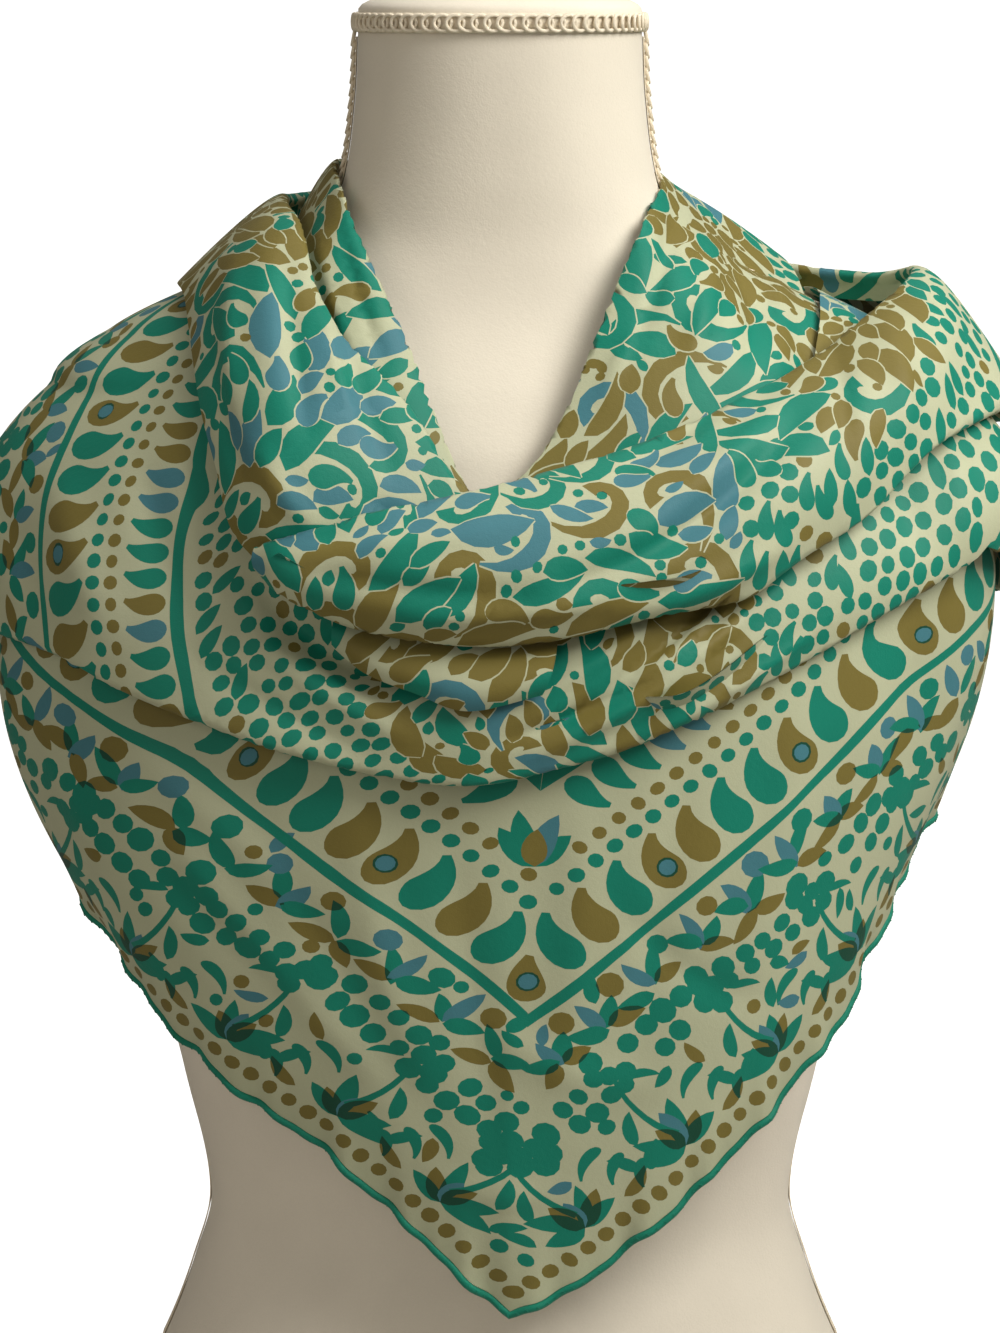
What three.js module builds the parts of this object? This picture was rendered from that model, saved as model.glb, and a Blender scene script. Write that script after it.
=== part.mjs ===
// A printed silk square scarf, draped point-forward in cowl folds over a limbless dress form and
// knotted at the nape. Millimetres, +Z up, the form faces -Y and stands on its flat base at z = 0.
import * as THREE from "three";
import { mergeVertices } from "three/addons/utils/BufferGeometryUtils.js";

// Driving dimensions
const FORM_TOP = 676; // height of the neck, under its cap
const CAP_RISE = 9; // crown of the neck cap above its edge
const CAP_EDGE = 5; // straight edge of the cap
const SEAM_GAP = 0.3; // between neighbouring solids
const CLOTH_WALL = 1.2; // the silk's wall
const HEM_RADIUS = 1.5; // rolled and stitched edge
const BRAID_WIDTH = 8; // flat braid over the form's seams
const BRAID_RISE = 1.6;
const BRAID_FOOT = 2; // height at which the side braids end
const SECTION_POWER = 2.25; // 2 is an ellipse, more is squarer
const FORM_SEGMENTS = 36;
const FORM_RING_SPACING = 26; // at most, between level sections

// The form's level sections: half width, and depth to the front and to the back of the middle plane
const FORM_COLUMNS = ["z", "wide", "front", "back"];
const FORM_SECTIONS = [
  [0, 172, 112, 106],
  [50, 166, 114, 110],
  [114, 146, 104, 98],
  [150, 132, 95, 88],
  [183, 124, 90, 82],
  [235, 134, 95, 82],
  [290, 146, 112, 87],
  [340, 152, 124, 92],
  [385, 156, 126, 96],
  [430, 162, 119, 98],
  [475, 173, 106, 97],
  [510, 182, 92, 93],
  [533, 176, 78, 86],
  [552, 146, 66, 78],
  [570, 108, 59, 71],
  [590, 76, 56, 64],
  [612, 64, 57, 59],
  [645, 59, 59, 55],
  [676, 57.5, 61, 52],
];

// Least distance from the form to the middle of a wall, by how many layers lie under it
const ON_FORM = 2.9;
const OVER_ONE_LAYER = 6;
const OVER_TWO_LAYERS = 9;

// Each stretch of cloth is a table of cross-sections, taken from the knot over the left shoulder,
// across the front and back over the right shoulder: upper edge u, middle m and lower edge l.
const CLOTH_COLUMNS = ["ux", "uy", "uz", "mx", "my", "mz", "lx", "ly", "lz"];

// The neck drape runs close round the neck and meets in a V in front
const NECK_DRAPE = [
  [-13.5, 82, 600, -16, 82, 596, -18, 83, 592],
  [-36, 68, 613, -43, 73, 607, -50, 77, 598],
  [-62, 40, 618, -71, 43, 610, -80, 45, 596],
  [-68, 0, 619, -75, -2, 610, -86, -5, 589],
  [-62, -45, 607, -68, -51, 598, -79, -56, 581],
  [-51, -68, 584, -57, -76, 577, -66, -81, 560],
  [-35, -88, 551, -44, -96, 544, -55, -102, 530],
  [-17, -108, 507, -27, -114, 504, -40, -119, 498],
  [-6, -112, 497, -6, -116, 487, -4, -118, 474],
  [8, -108, 503, 14, -113, 490, 22, -116, 478],
  [24, -97, 524, 38, -106, 508, 50, -108, 492],
  [44, -72, 570, 68, -88, 546, 92, -92, 516],
  [57, -50, 597, 88, -64, 567, 122, -62, 538],
  [67, 2, 613, 92, 10, 589, 126, 0, 563],
  [58, 42, 613, 84, 46, 601, 112, 46, 582],
  [36, 68, 608, 45, 73, 602, 54, 77, 594],
  [13.5, 82, 600, 16, 82, 596, 18, 83, 592],
];

// The left roll comes over the left shoulder and sinks behind the upper drape
const LEFT_ROLL = [
  [-15, 94, 602, -15, 98, 598, -17.5, 99, 592],
  [-44, 88, 605, -53, 94, 600, -61, 97, 590],
  [-84, 54, 604, -95, 58, 597, -112, 54, 579],
  [-87, 4, 603, -99, 0, 601, -131, -3, 572],
  [-80, -54, 597, -102, -58, 588, -126, -42, 566],
  [-71, -86, 571, -94, -102, 558, -117, -92, 532],
  [-56, -102, 552, -86, -124, 532, -109, -114, 508],
  [-38, -110, 534, -76, -138, 508, -101, -128, 484],
  [-27, -117, 518, -58, -138, 490, -80, -136, 468],
  [-15, -122, 501, -36, -134, 482, -50, -136, 462],
  [6, -122, 490, -8, -130, 474, -20, -136, 460],
];

// The upper drape starts as a fold on the left roll and widens into the hump on the right shoulder
const UPPER_DRAPE = [
  [-93, -138, 481, -94, -140, 477, -93, -140, 473],
  [-77, -144, 487, -81, -151, 476, -82, -147, 464],
  [-47, -143, 495, -52, -159, 474, -56, -151, 453],
  [-29, -139, 498, -30, -161, 474, -29, -154, 448],
  [1, -131, 504, 2, -159, 477, 2, -155, 447],
  [26, -125, 510, 30, -155, 483, 30, -154, 451],
  [52, -117, 517, 56, -149, 490, 57, -149, 457],
  [84, -102, 530, 85, -137, 500, 92, -138, 462],
  [113, -84, 541, 117, -122, 515, 117, -127, 477],
  [144, -56, 560, 149, -96, 536, 143, -110, 491],
  [163, -30, 572, 177, -60, 556, 173, -86, 516],
  [170, -2, 577, 186, -10, 566, 210, -34, 528],
  [156, 30, 572, 180, 36, 554, 212, 22, 514],
  [116, 64, 575, 146, 80, 552, 172, 96, 512],
  [66, 90, 590, 86, 104, 572, 106, 116, 540],
  [15, 94, 602, 15, 98, 598, 17.5, 99, 592],
];

// The middle fold is a short roll that shows under the upper drape, left of the middle
const MIDDLE_FOLD = [
  [-63, -133, 455, -64, -139, 449, -64, -138, 443],
  [-46, -134, 454, -49, -147, 443, -51, -146, 434],
  [-26, -136, 452, -29, -152, 438, -32, -150, 427],
  [0, -140, 448, -6, -155, 434, -12, -154, 421],
  [22, -141.2, 447, 20, -154, 437, 16, -153, 427],
];

// The lower swag hangs from shoulder to shoulder under the drapes
const LOWER_SWAG = [
  [-20.5, 87, 590, -20.5, 90, 586, -19.5, 93, 582],
  [-50, 82, 592, -67, 100, 564, -84, 114, 520],
  [-88, 46, 592, -134, 86, 538, -162, 100, 456],
  [-106, 6, 578, -190, 34, 514, -213, 44, 428],
  [-110, -34, 562, -200, -28, 510, -216, -30, 434],
  [-100, -84, 534, -156, -92, 488, -180, -88, 434],
  [-90, -102, 506, -130, -112, 466, -150, -113, 424],
  [-82, -112, 486, -104, -124, 450, -117, -129, 414],
  [-54, -122, 464, -66, -137, 434, -77, -142, 403],
  [-4, -126, 458, -6, -147, 428, -8, -150, 393],
  [42, -122, 466, 54, -144, 440, 65, -141, 412],
  [82, -108, 472, 90, -131, 448, 95, -131, 424],
  [104, -98, 488, 114, -119, 464, 124, -118, 438],
  [122, -68, 534, 149, -96, 488, 157, -101, 454],
  [126, -22, 556, 194, -54, 516, 201, -68, 470],
  [132, 16, 566, 200, -6, 514, 216, -8, 450],
  [116, 42, 566, 188, 40, 512, 211, 46, 438],
  [92, 54, 580, 134, 84, 534, 162, 100, 462],
  [50, 82, 592, 67, 100, 565, 84, 114, 522],
  [20.5, 87, 590, 20.5, 90, 586, 19.5, 93, 582],
];

// The front point is the square's corner: its lower edge is the hem, with the tip in row 11
const FRONT_POINT = [
  [-18.5, 86, 580, -17, 88, 576, -13.5, 89, 571],
  [-74, 100, 540, -90, 106, 510, -100, 108, 478],
  [-150, 84, 474, -160, 88, 438, -160, 86, 400],
  [-196, 40, 450, -203, 36, 405, -190, 36, 364],
  [-200, -30, 452, -205, -30, 398, -184, -14, 342],
  [-176, -76, 446, -190, -64, 384, -174, -48, 328],
  [-146, -98, 440, -156, -100, 358, -148, -78, 298],
  [-120, -110, 434, -131, -115, 350, -122, -94, 270],
  [-94, -121, 428, -102, -124, 344, -94, -107, 252],
  [-64, -132, 422, -68, -131, 330, -64, -114, 232],
  [-30, -136, 414, -33, -133, 308, -31, -120, 202],
  [2, -137, 412, 3, -134, 290, 4, -124, 170],
  [34, -136, 420, 36, -133, 303, 37, -122, 188],
  [68, -131, 432, 72, -129, 326, 74, -118, 218],
  [98, -121, 444, 106, -119, 350, 109, -106, 252],
  [124, -108, 456, 136, -105, 368, 137, -88, 283],
  [150, -92, 468, 160, -88, 388, 154, -68, 314],
  [179, -70, 478, 187, -60, 410, 171, -42, 342],
  [201, -26, 480, 201, -26, 418, 184, -12, 362],
  [197, 40, 462, 200, 38, 420, 186, 38, 378],
  [150, 84, 484, 158, 88, 446, 158, 88, 408],
  [74, 100, 544, 90, 106, 514, 100, 108, 482],
  [18.5, 86, 580, 17, 88, 576, 13.5, 89, 571],
];
const TIP_ROW = 11;

// Knot and tails
const KNOT = { y: 90, z: 588, halfWide: 20, halfDeep: 15, halfHigh: 22 };
const TAIL_COLUMNS = ["x", "y", "z", "wide"];
const LEFT_TAIL = [
  [-7, 97.8, 571.5, 9],
  [-12, 102, 548, 17],
  [-20, 103, 515, 30],
  [-27, 104, 482, 34],
  [-33, 104, 452, 18],
  [-37, 103, 430, 3],
];
const RIGHT_TAIL = [
  [8, 97.6, 571.5, 9],
  [14, 102, 550, 18],
  [22, 104, 520, 32],
  [26, 105, 490, 36],
  [28, 104, 462, 20],
  [29, 103, 438, 3],
];

const named = (columns, row) => Object.fromEntries(columns.map((name, i) => [name, row[i]]));
const clamp = (v, low, high) => Math.min(high, Math.max(low, v));

// Smooth in-between row of a table: a Catmull-Rom curve through its rows, column by column.
// A corner row keeps its kink, because the curve does not look past it.
function rowAt(table, place, corner = -1) {
  const last = table.length - 1;
  const i = clamp(Math.floor(place), 0, last - 1);
  const f = clamp(place - i, 0, 1);
  const before = i === 0 || i === corner ? null : table[i - 1];
  const after = i + 1 === last || i + 1 === corner ? null : table[i + 2];
  return table[i].map((a, k) => {
    const b = table[i + 1][k];
    const p = before ? before[k] : 2 * a - b;
    const n = after ? after[k] : 2 * b - a;
    const bend = (2 * p - 5 * a + 4 * b - n) * f * f + (3 * a - p - 3 * b + n) * f * f * f;
    return a + 0.5 * ((b - p) * f + bend);
  });
}

function formSection(z) {
  const rows = FORM_SECTIONS;
  let i = 0;
  while (i < rows.length - 2 && rows[i + 1][0] < z) i++;
  const place = i + clamp((z - rows[i][0]) / (rows[i + 1][0] - rows[i][0]), 0, 1);
  return named(FORM_COLUMNS, rowAt(rows, place));
}

// Zero on the form's surface, positive outside it
function formValue(x, y, z) {
  const s = formSection(z);
  const depth = y < 0 ? s.front : s.back;
  const p = SECTION_POWER;
  return Math.pow(Math.pow(Math.abs(x) / s.wide, p) + Math.pow(Math.abs(y) / depth, p), 1 / p) - 1;
}

const PROBE = 0.5; // half the distance over which the slope is measured
function formGradient(v) {
  const h = PROBE;
  return new THREE.Vector3(
    formValue(v.x + h, v.y, v.z) - formValue(v.x - h, v.y, v.z),
    formValue(v.x, v.y + h, v.z) - formValue(v.x, v.y - h, v.z),
    formValue(v.x, v.y, v.z + h) - formValue(v.x, v.y, v.z - h),
  ).divideScalar(2 * h);
}

// Moves a point outwards until it is clear of the form
const MOST_STEPS = 6;
const LONGEST_STEP = 6;
function restOnForm(v, clearance) {
  for (let step = 0; step < MOST_STEPS; step++) {
    const slope = formGradient(v);
    const away = formValue(v.x, v.y, v.z) / slope.length();
    if (away >= clearance) break;
    v.addScaledVector(slope.normalize(), Math.min(clearance - away, LONGEST_STEP));
  }
  return v;
}

// A closed body from rings with the same number of points, closed at both ends by a fan
function loft(rings) {
  const n = rings[0].length;
  const points = rings.flat();
  const faces = [];
  for (let r = 0; r + 1 < rings.length; r++)
    for (let i = 0; i < n; i++) {
      const a = r * n + i;
      const b = r * n + ((i + 1) % n);
      faces.push(a, b, b + n, a, b + n, a + n);
    }
  const end = (r, flip) => {
    const middle = points.length;
    const sum = new THREE.Vector3();
    rings[r].forEach((p) => sum.add(p));
    points.push(sum.divideScalar(n));
    for (let i = 0; i < n; i++) {
      const a = r * n + i;
      const b = r * n + ((i + 1) % n);
      faces.push(...(flip ? [middle, b, a] : [middle, a, b]));
    }
  };
  end(0, true);
  end(rings.length - 1, false);
  return facingOut(points, faces);
}

// A wall of even thickness on a grid of points, with its four edges closed
function wall(grid, thickness) {
  const rows = grid.length;
  const cols = grid[0].length;
  const at = (i, j) => grid[clamp(i, 0, rows - 1)][clamp(j, 0, cols - 1)];
  const outer = [];
  const inner = [];
  grid.forEach((row, i) =>
    row.forEach((p, j) => {
      const along = new THREE.Vector3().subVectors(at(i + 1, j), at(i - 1, j));
      const across = new THREE.Vector3().subVectors(at(i, j + 1), at(i, j - 1));
      const normal = new THREE.Vector3().crossVectors(across, along).normalize();
      outer.push(p.clone().addScaledVector(normal, thickness / 2));
      inner.push(p.clone().addScaledVector(normal, -thickness / 2));
    }),
  );
  const faces = [];
  const shift = rows * cols;
  const quad = (a, b, c, d) => faces.push(a, b, c, a, c, d);
  for (let i = 0; i + 1 < rows; i++)
    for (let j = 0; j + 1 < cols; j++) {
      const a = i * cols + j;
      quad(a, a + 1, a + cols + 1, a + cols);
      quad(a + shift, a + cols + shift, a + cols + 1 + shift, a + 1 + shift);
    }
  const rim = [];
  for (let j = 0; j < cols; j++) rim.push(j);
  for (let i = 1; i < rows; i++) rim.push(i * cols + cols - 1);
  for (let j = cols - 2; j >= 0; j--) rim.push((rows - 1) * cols + j);
  for (let i = rows - 2; i > 0; i--) rim.push(i * cols);
  rim.forEach((a, k) => {
    const b = rim[(k + 1) % rim.length];
    quad(a, a + shift, b + shift, b);
  });
  return facingOut([...outer, ...inner], faces);
}

function facingOut(points, faces) {
  let volume = 0;
  const triple = new THREE.Vector3();
  for (let i = 0; i < faces.length; i += 3) {
    const [a, b, c] = [points[faces[i]], points[faces[i + 1]], points[faces[i + 2]]];
    volume += triple.crossVectors(b, c).dot(a);
  }
  if (volume < 0) faces.reverse();
  const geometry = new THREE.BufferGeometry().setFromPoints(points);
  geometry.setIndex(faces);
  geometry.computeVertexNormals();
  return geometry;
}

// The grid of points of a stretch of cloth. Its cross-section passes through the table's three
// points; the lower edge can roll under with a radius and run back up as a hidden tuck.
function clothGrid(table, { along, across, clearance, corner = -1, roll = 0, tuck = 0 }) {
  const grid = [];
  const last = table.length - 1;
  for (let i = 0; i <= along; i++) {
    const r = named(CLOTH_COLUMNS, rowAt(table, (i / along) * last, corner));
    const upper = new THREE.Vector3(r.ux, r.uy, r.uz);
    const middle = new THREE.Vector3(r.mx, r.my, r.mz);
    const lower = new THREE.Vector3(r.lx, r.ly, r.lz);
    const section = [];
    for (let j = 0; j <= across; j++) {
      const t = j / across;
      const p = new THREE.Vector3()
        .addScaledVector(upper, (1 - t) * (1 - 2 * t))
        .addScaledVector(middle, 4 * t * (1 - t))
        .addScaledVector(lower, t * (2 * t - 1));
      section.push(p);
    }
    grid.push(section);
  }
  grid.forEach((section) => section.forEach((p) => restOnForm(p, clearance)));
  if (roll > 0) {
    const edges = grid.map((section) => section[across]);
    grid.forEach((section, i) => addRoll(section, edges, i, roll, tuck));
  }
  return grid;
}

// Rolls the lower edge of one cross-section under, more tightly towards the ends of the stretch
const ROLL_STEPS = 3;
const ROLL_AT_END = 0.35; // share of the radius that is left at an end
const SHORTEST_TUCK = 0.2;
const ROLL_FADE = 3; // stations over which it grows to the whole radius
function addRoll(section, edges, i, roll, tuck) {
  const edge = edges[i];
  const last = edges.length - 1;
  const down = new THREE.Vector3().subVectors(edge, section[section.length - 2]).normalize();
  const along = new THREE.Vector3().subVectors(edges[Math.min(i + 1, last)], edges[Math.max(i - 1, 0)]);
  const out = new THREE.Vector3().crossVectors(down, along).normalize();
  const ends = Math.min(1, i / ROLL_FADE, (last - i) / ROLL_FADE);
  const radius = roll * (ROLL_AT_END + (1 - ROLL_AT_END) * ends);
  const centre = edge.clone().addScaledVector(out, -radius);
  for (let k = 1; k <= ROLL_STEPS; k++) {
    const turn = (k / ROLL_STEPS) * Math.PI;
    section.push(
      centre
        .clone()
        .addScaledVector(out, radius * Math.cos(turn))
        .addScaledVector(down, radius * Math.sin(turn)),
    );
  }
  const turned = section[section.length - 1];
  section.push(turned.clone().addScaledVector(down, -SHORTEST_TUCK - tuck * ends));
}

// A round tube along a list of points, with its ends closed
function tube(path, radius, sides) {
  const last = path.length - 1;
  const side = new THREE.Vector3(0, 1, 0.3).normalize();
  const rings = path.map((p, i) => {
    const along = new THREE.Vector3().subVectors(path[Math.min(i + 1, last)], path[Math.max(i - 1, 0)]);
    along.normalize();
    side.addScaledVector(along, -side.dot(along)).normalize();
    const other = new THREE.Vector3().crossVectors(along, side);
    return [...Array(sides).keys()].map((k) => {
      const turn = (k / sides) * 2 * Math.PI;
      return p
        .clone()
        .addScaledVector(side, radius * Math.cos(turn))
        .addScaledVector(other, radius * Math.sin(turn));
    });
  });
  return loft(rings);
}

// The rolled hem runs just below the front point's lower edge
const HEM_SIDES = 6;
function hemRoll(grid) {
  const reach = HEM_RADIUS + SEAM_GAP;
  const edges = grid.map((section) => section[section.length - 1]);
  const last = edges.length - 1;
  const path = edges.map((edge, i) => {
    const down = new THREE.Vector3().subVectors(edge, grid[i][grid[i].length - 2]);
    const along = new THREE.Vector3().subVectors(edges[Math.min(i + 1, last)], edges[Math.max(i - 1, 0)]);
    along.normalize();
    down.addScaledVector(along, -down.dot(along)).normalize();
    return edge.clone().addScaledVector(down, reach);
  });
  return tube(path, HEM_RADIUS, HEM_SIDES);
}

// The knot is a flattened ball of cloth, with a waist where the wrap crosses it
const KNOT_SIDES = 16;
const KNOT_RINGS = 9;
const KNOT_WAIST = 0.14;
function knot() {
  const ball = new THREE.SphereGeometry(1, KNOT_SIDES, KNOT_RINGS);
  ball.deleteAttribute("normal");
  ball.deleteAttribute("uv");
  const solid = mergeVertices(ball, 1e-4);
  const at = solid.getAttribute("position");
  for (let i = 0; i < at.count; i++) {
    const waist = 1 - KNOT_WAIST * Math.exp(-Math.pow(at.getX(i) * 3, 2));
    at.setXYZ(
      i,
      KNOT.halfWide * at.getX(i),
      KNOT.y - KNOT.halfDeep * at.getZ(i) * waist,
      KNOT.z + KNOT.halfHigh * at.getY(i) * waist,
    );
  }
  solid.computeVertexNormals();
  return solid;
}

// A tail is a narrow strip that widens and closes to the square's corner, curved across
const TAIL_STEPS = 10;
const TAIL_ACROSS = 4;
const TAIL_BOW = 0.16;
function tailGrid(table) {
  const grid = [];
  for (let i = 0; i <= TAIL_STEPS; i++) {
    const { x, y, z, wide } = named(TAIL_COLUMNS, rowAt(table, (i / TAIL_STEPS) * (table.length - 1)));
    const strip = [];
    for (let j = 0; j <= TAIL_ACROSS; j++) {
      const side = (j / TAIL_ACROSS) * 2 - 1;
      strip.push(new THREE.Vector3(x + (side * wide) / 2, y + TAIL_BOW * wide * (1 - side * side), z));
    }
    grid.push(strip);
  }
  return grid;
}

const FORM_CLOTH = new THREE.MeshStandardMaterial({ color: 0xe5dccb, roughness: 0.9 });
const BRAID = new THREE.MeshStandardMaterial({ color: 0xe2d8c6, roughness: 0.85 });
const SILK = new THREE.MeshStandardMaterial({ color: 0x6f9c86, roughness: 0.55 });
const HEM_SILK = new THREE.MeshStandardMaterial({ color: 0x0e8f73, roughness: 0.55 });

const group = new THREE.Group();
function add(name, geometry, material) {
  const mesh = new THREE.Mesh(geometry, material);
  mesh.name = name;
  group.add(mesh);
  return mesh;
}

function sectionRing(z, grow = 0) {
  const s = formSection(z);
  const ring = [];
  for (let i = 0; i < FORM_SEGMENTS; i++) {
    const turn = (i / FORM_SEGMENTS) * 2 * Math.PI;
    const c = Math.cos(turn);
    const d = Math.sin(turn);
    const depth = d < 0 ? s.front : s.back;
    const bow = (v) => Math.sign(v) * Math.pow(Math.abs(v), 2 / SECTION_POWER);
    ring.push(new THREE.Vector3((s.wide + grow) * bow(c), (depth + grow) * bow(d), z));
  }
  return ring;
}

// The levels of the form's rings: the table's own, and even steps between them
const FORM_LEVELS = FORM_SECTIONS.slice(1).reduce(
  (levels, [z]) => {
    const from = levels[levels.length - 1];
    const steps = Math.ceil((z - from) / FORM_RING_SPACING);
    for (let k = 1; k <= steps; k++) levels.push(from + ((z - from) * k) / steps);
    return levels;
  },
  [0],
);

// Rings of the cap's crown: how far each is drawn in, and its share of the rise
const CAP_CROWN = [
  [6, 0.45],
  [20, 0.82],
  [40, 1],
];

// Dress form: body, neck cap, and the braids that cover its seams
function buildForm() {
  add("form_body", loft(FORM_LEVELS.map((z) => sectionRing(z))), FORM_CLOTH);
  const capBottom = FORM_TOP + SEAM_GAP;
  const cap = [sectionRing(capBottom), sectionRing(capBottom).map((p) => p.setZ(capBottom + CAP_EDGE))];
  for (const [shrink, rise] of CAP_CROWN)
    cap.push(sectionRing(capBottom, -shrink).map((p) => p.setZ(capBottom + CAP_EDGE + CAP_RISE * rise)));
  add("form_neck_cap", loft(cap), FORM_CLOTH);
  add("form_rim_braid", rimBraid(), BRAID);
  add("form_braid_left", sideBraid(-1), BRAID);
  add("form_braid_right", sideBraid(1), BRAID);
}

// A band round the neck over the seam between body and cap, clear of both
const BRAID_BEVEL = 1.5;
const RIM_GAP = 0.5; // the neck flares a little under the rim
function rimBraid() {
  const low = FORM_TOP - BRAID_WIDTH / 2;
  const high = FORM_TOP + BRAID_WIDTH / 2;
  const corners = [
    [low, RIM_GAP],
    [low + BRAID_BEVEL, RIM_GAP + BRAID_RISE],
    [high - BRAID_BEVEL, RIM_GAP + BRAID_RISE],
    [high, RIM_GAP],
  ];
  const rings = corners.map(([z, grow]) => sectionRing(FORM_TOP, grow).map((p) => p.setZ(z)));
  const points = rings.flat();
  const faces = [];
  for (let r = 0; r < rings.length; r++)
    for (let i = 0; i < FORM_SEGMENTS; i++) {
      const next = (i + 1) % FORM_SEGMENTS;
      const above = ((r + 1) % rings.length) * FORM_SEGMENTS;
      const a = r * FORM_SEGMENTS;
      faces.push(a + i, a + next, above + next, a + i, above + next, above + i);
    }
  return facingOut(points, faces);
}

// A flat braid down one side of the form, from under the rim braid to the base
function sideBraid(side) {
  const top = FORM_TOP - BRAID_WIDTH / 2 - BRAID_BEVEL;
  const foot = BRAID_WIDTH / 2;
  const crest = foot - BRAID_BEVEL;
  const rings = [];
  const inside = FORM_LEVELS.filter((z) => z > 0 && z < top);
  for (const z of [BRAID_FOOT, ...inside, top]) {
    const seat = new THREE.Vector3(side * formSection(z).wide, 0, z);
    const out = formGradient(seat).setY(0).normalize();
    const corner = (across, rise) => seat.clone().addScaledVector(out, rise).setY(across);
    rings.push([
      corner(-foot, SEAM_GAP),
      corner(-crest, SEAM_GAP + BRAID_RISE),
      corner(crest, SEAM_GAP + BRAID_RISE),
      corner(foot, SEAM_GAP),
    ]);
  }
  return loft(rings);
}
buildForm();

function buildScarf() {
  const cloth = (name, table, options) => add(name, wall(clothGrid(table, options), CLOTH_WALL), SILK);
  cloth("scarf_neck_drape", NECK_DRAPE, { along: 48, across: 4, clearance: ON_FORM });
  cloth("scarf_left_roll", LEFT_ROLL, { along: 30, across: 6, clearance: OVER_TWO_LAYERS });
  cloth("scarf_upper_drape", UPPER_DRAPE, {
    along: 50,
    across: 7,
    clearance: OVER_TWO_LAYERS,
    roll: 3,
    tuck: 14,
  });
  cloth("scarf_middle_fold", MIDDLE_FOLD, { along: 14, across: 5, clearance: OVER_ONE_LAYER });
  cloth("scarf_lower_swag", LOWER_SWAG, {
    along: 57,
    across: 7,
    clearance: OVER_ONE_LAYER,
    roll: 2.5,
    tuck: 16,
  });
  const point = { along: 66, across: 6, clearance: ON_FORM, corner: TIP_ROW };
  cloth("scarf_front_point", FRONT_POINT, point);
  add("scarf_rolled_hem", hemRoll(clothGrid(FRONT_POINT, point)), HEM_SILK);
  add("scarf_knot", knot(), SILK);
  add("scarf_tail_left", wall(tailGrid(LEFT_TAIL), CLOTH_WALL), SILK);
  add("scarf_tail_right", wall(tailGrid(RIGHT_TAIL), CLOTH_WALL), SILK);
}
buildScarf();

export default group;
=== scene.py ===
# %% [markdown]
# A printed silk square hangs point-forward in cowl folds over a dress form and is knotted at the
# nape. The scene is made around the part's fixed frame: every length below is in millimetres, as a
# maker would note it, and is turned into metres only when a mesh is written.
# %% Load the frame
import math
import random

import bpy
import numpy as np
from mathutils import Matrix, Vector
from mathutils.bvhtree import BVHTree
from mathutils.geometry import delaunay_2d_cdt


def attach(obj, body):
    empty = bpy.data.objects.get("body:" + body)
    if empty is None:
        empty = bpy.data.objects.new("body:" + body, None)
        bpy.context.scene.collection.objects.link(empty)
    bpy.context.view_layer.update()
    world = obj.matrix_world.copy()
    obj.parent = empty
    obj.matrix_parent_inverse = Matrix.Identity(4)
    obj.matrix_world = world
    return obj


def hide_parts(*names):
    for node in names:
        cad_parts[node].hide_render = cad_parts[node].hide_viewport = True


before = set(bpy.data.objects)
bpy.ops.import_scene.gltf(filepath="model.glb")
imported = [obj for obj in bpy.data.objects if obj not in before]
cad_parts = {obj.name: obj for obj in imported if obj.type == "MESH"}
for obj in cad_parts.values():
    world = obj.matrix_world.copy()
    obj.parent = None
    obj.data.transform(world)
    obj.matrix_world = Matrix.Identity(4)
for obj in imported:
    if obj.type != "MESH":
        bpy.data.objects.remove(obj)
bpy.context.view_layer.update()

MM = 0.001
scene = bpy.context.scene
scene.view_settings.view_transform = "Standard"
print("frame loaded,", len(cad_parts), "nodes")

# %% [markdown]
# The camera stands level with the neck, a metre and a half in front of the form, and looks a little
# down. It comes first, because it settles what shows. Its lens is worked out from a focal length in
# pixels of the 1000 x 1333 picture, so the frame is the same whatever size is rendered.
# %% Camera
IMAGE_HIGH = 1333
FOCAL_PIXELS = 3633
SENSOR = 36
CAMERA_BACK = 1500
CAMERA_UP = 690
CAMERA_PITCH = 10.6  # degrees down from level

camera_data = bpy.data.cameras.new("camera")
camera_data.sensor_fit = "AUTO"
camera_data.sensor_width = SENSOR
camera_data.lens = FOCAL_PIXELS * SENSOR / IMAGE_HIGH
camera_data.clip_end = 60
camera = bpy.data.objects.new("camera", camera_data)
camera.location = (0, -CAMERA_BACK * MM, CAMERA_UP * MM)
camera.rotation_euler = (math.radians(90 - CAMERA_PITCH), 0, 0)
scene.collection.objects.link(camera)
scene.camera = camera
print("lens", round(camera_data.lens, 1), "mm")

# %% [markdown]
# Soft studio light. A pale sheet sweeps up behind the form. It glows for the camera alone, so the
# background stays an even white while little light bounces back from it. The key panel is close
# and high on the right, as the lit right side of the neck shows, and the left side falls into a
# soft warm shade.
# %% Floor, backdrop and lights
SWEEP_BACK = 2.6
SWEEP_RADIUS = 1.2
SWEEP_HIGH = 6.0
SWEEP_HALF = 7.0
SWEEP_FRONT = -5.0
SWEEP_STEPS = 16


def new_object(name, mesh):
    """A mesh as an object of the scene, at the origin."""
    made = bpy.data.objects.new(name, mesh)
    scene.collection.objects.link(made)
    return made


def make_mesh(name, points, faces):
    """A new, smoothly shaded mesh object from points in metres."""
    mesh = bpy.data.meshes.new(name)
    mesh.from_pydata([tuple(p) for p in points], [], [tuple(f) for f in faces])
    mesh.update()
    mesh.shade_smooth()
    return new_object(name, mesh)


def new_material(name, **finish):
    """A material with a Principled shader, whose inputs are set by their names in lower case."""
    material = bpy.data.materials.new(name)
    material.use_nodes = True
    shader = material.node_tree.nodes["Principled BSDF"]
    for socket in shader.inputs:
        key = socket.name.lower().replace(" ", "_")
        if key in finish:
            socket.default_value = finish[key]
    return material, shader


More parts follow.
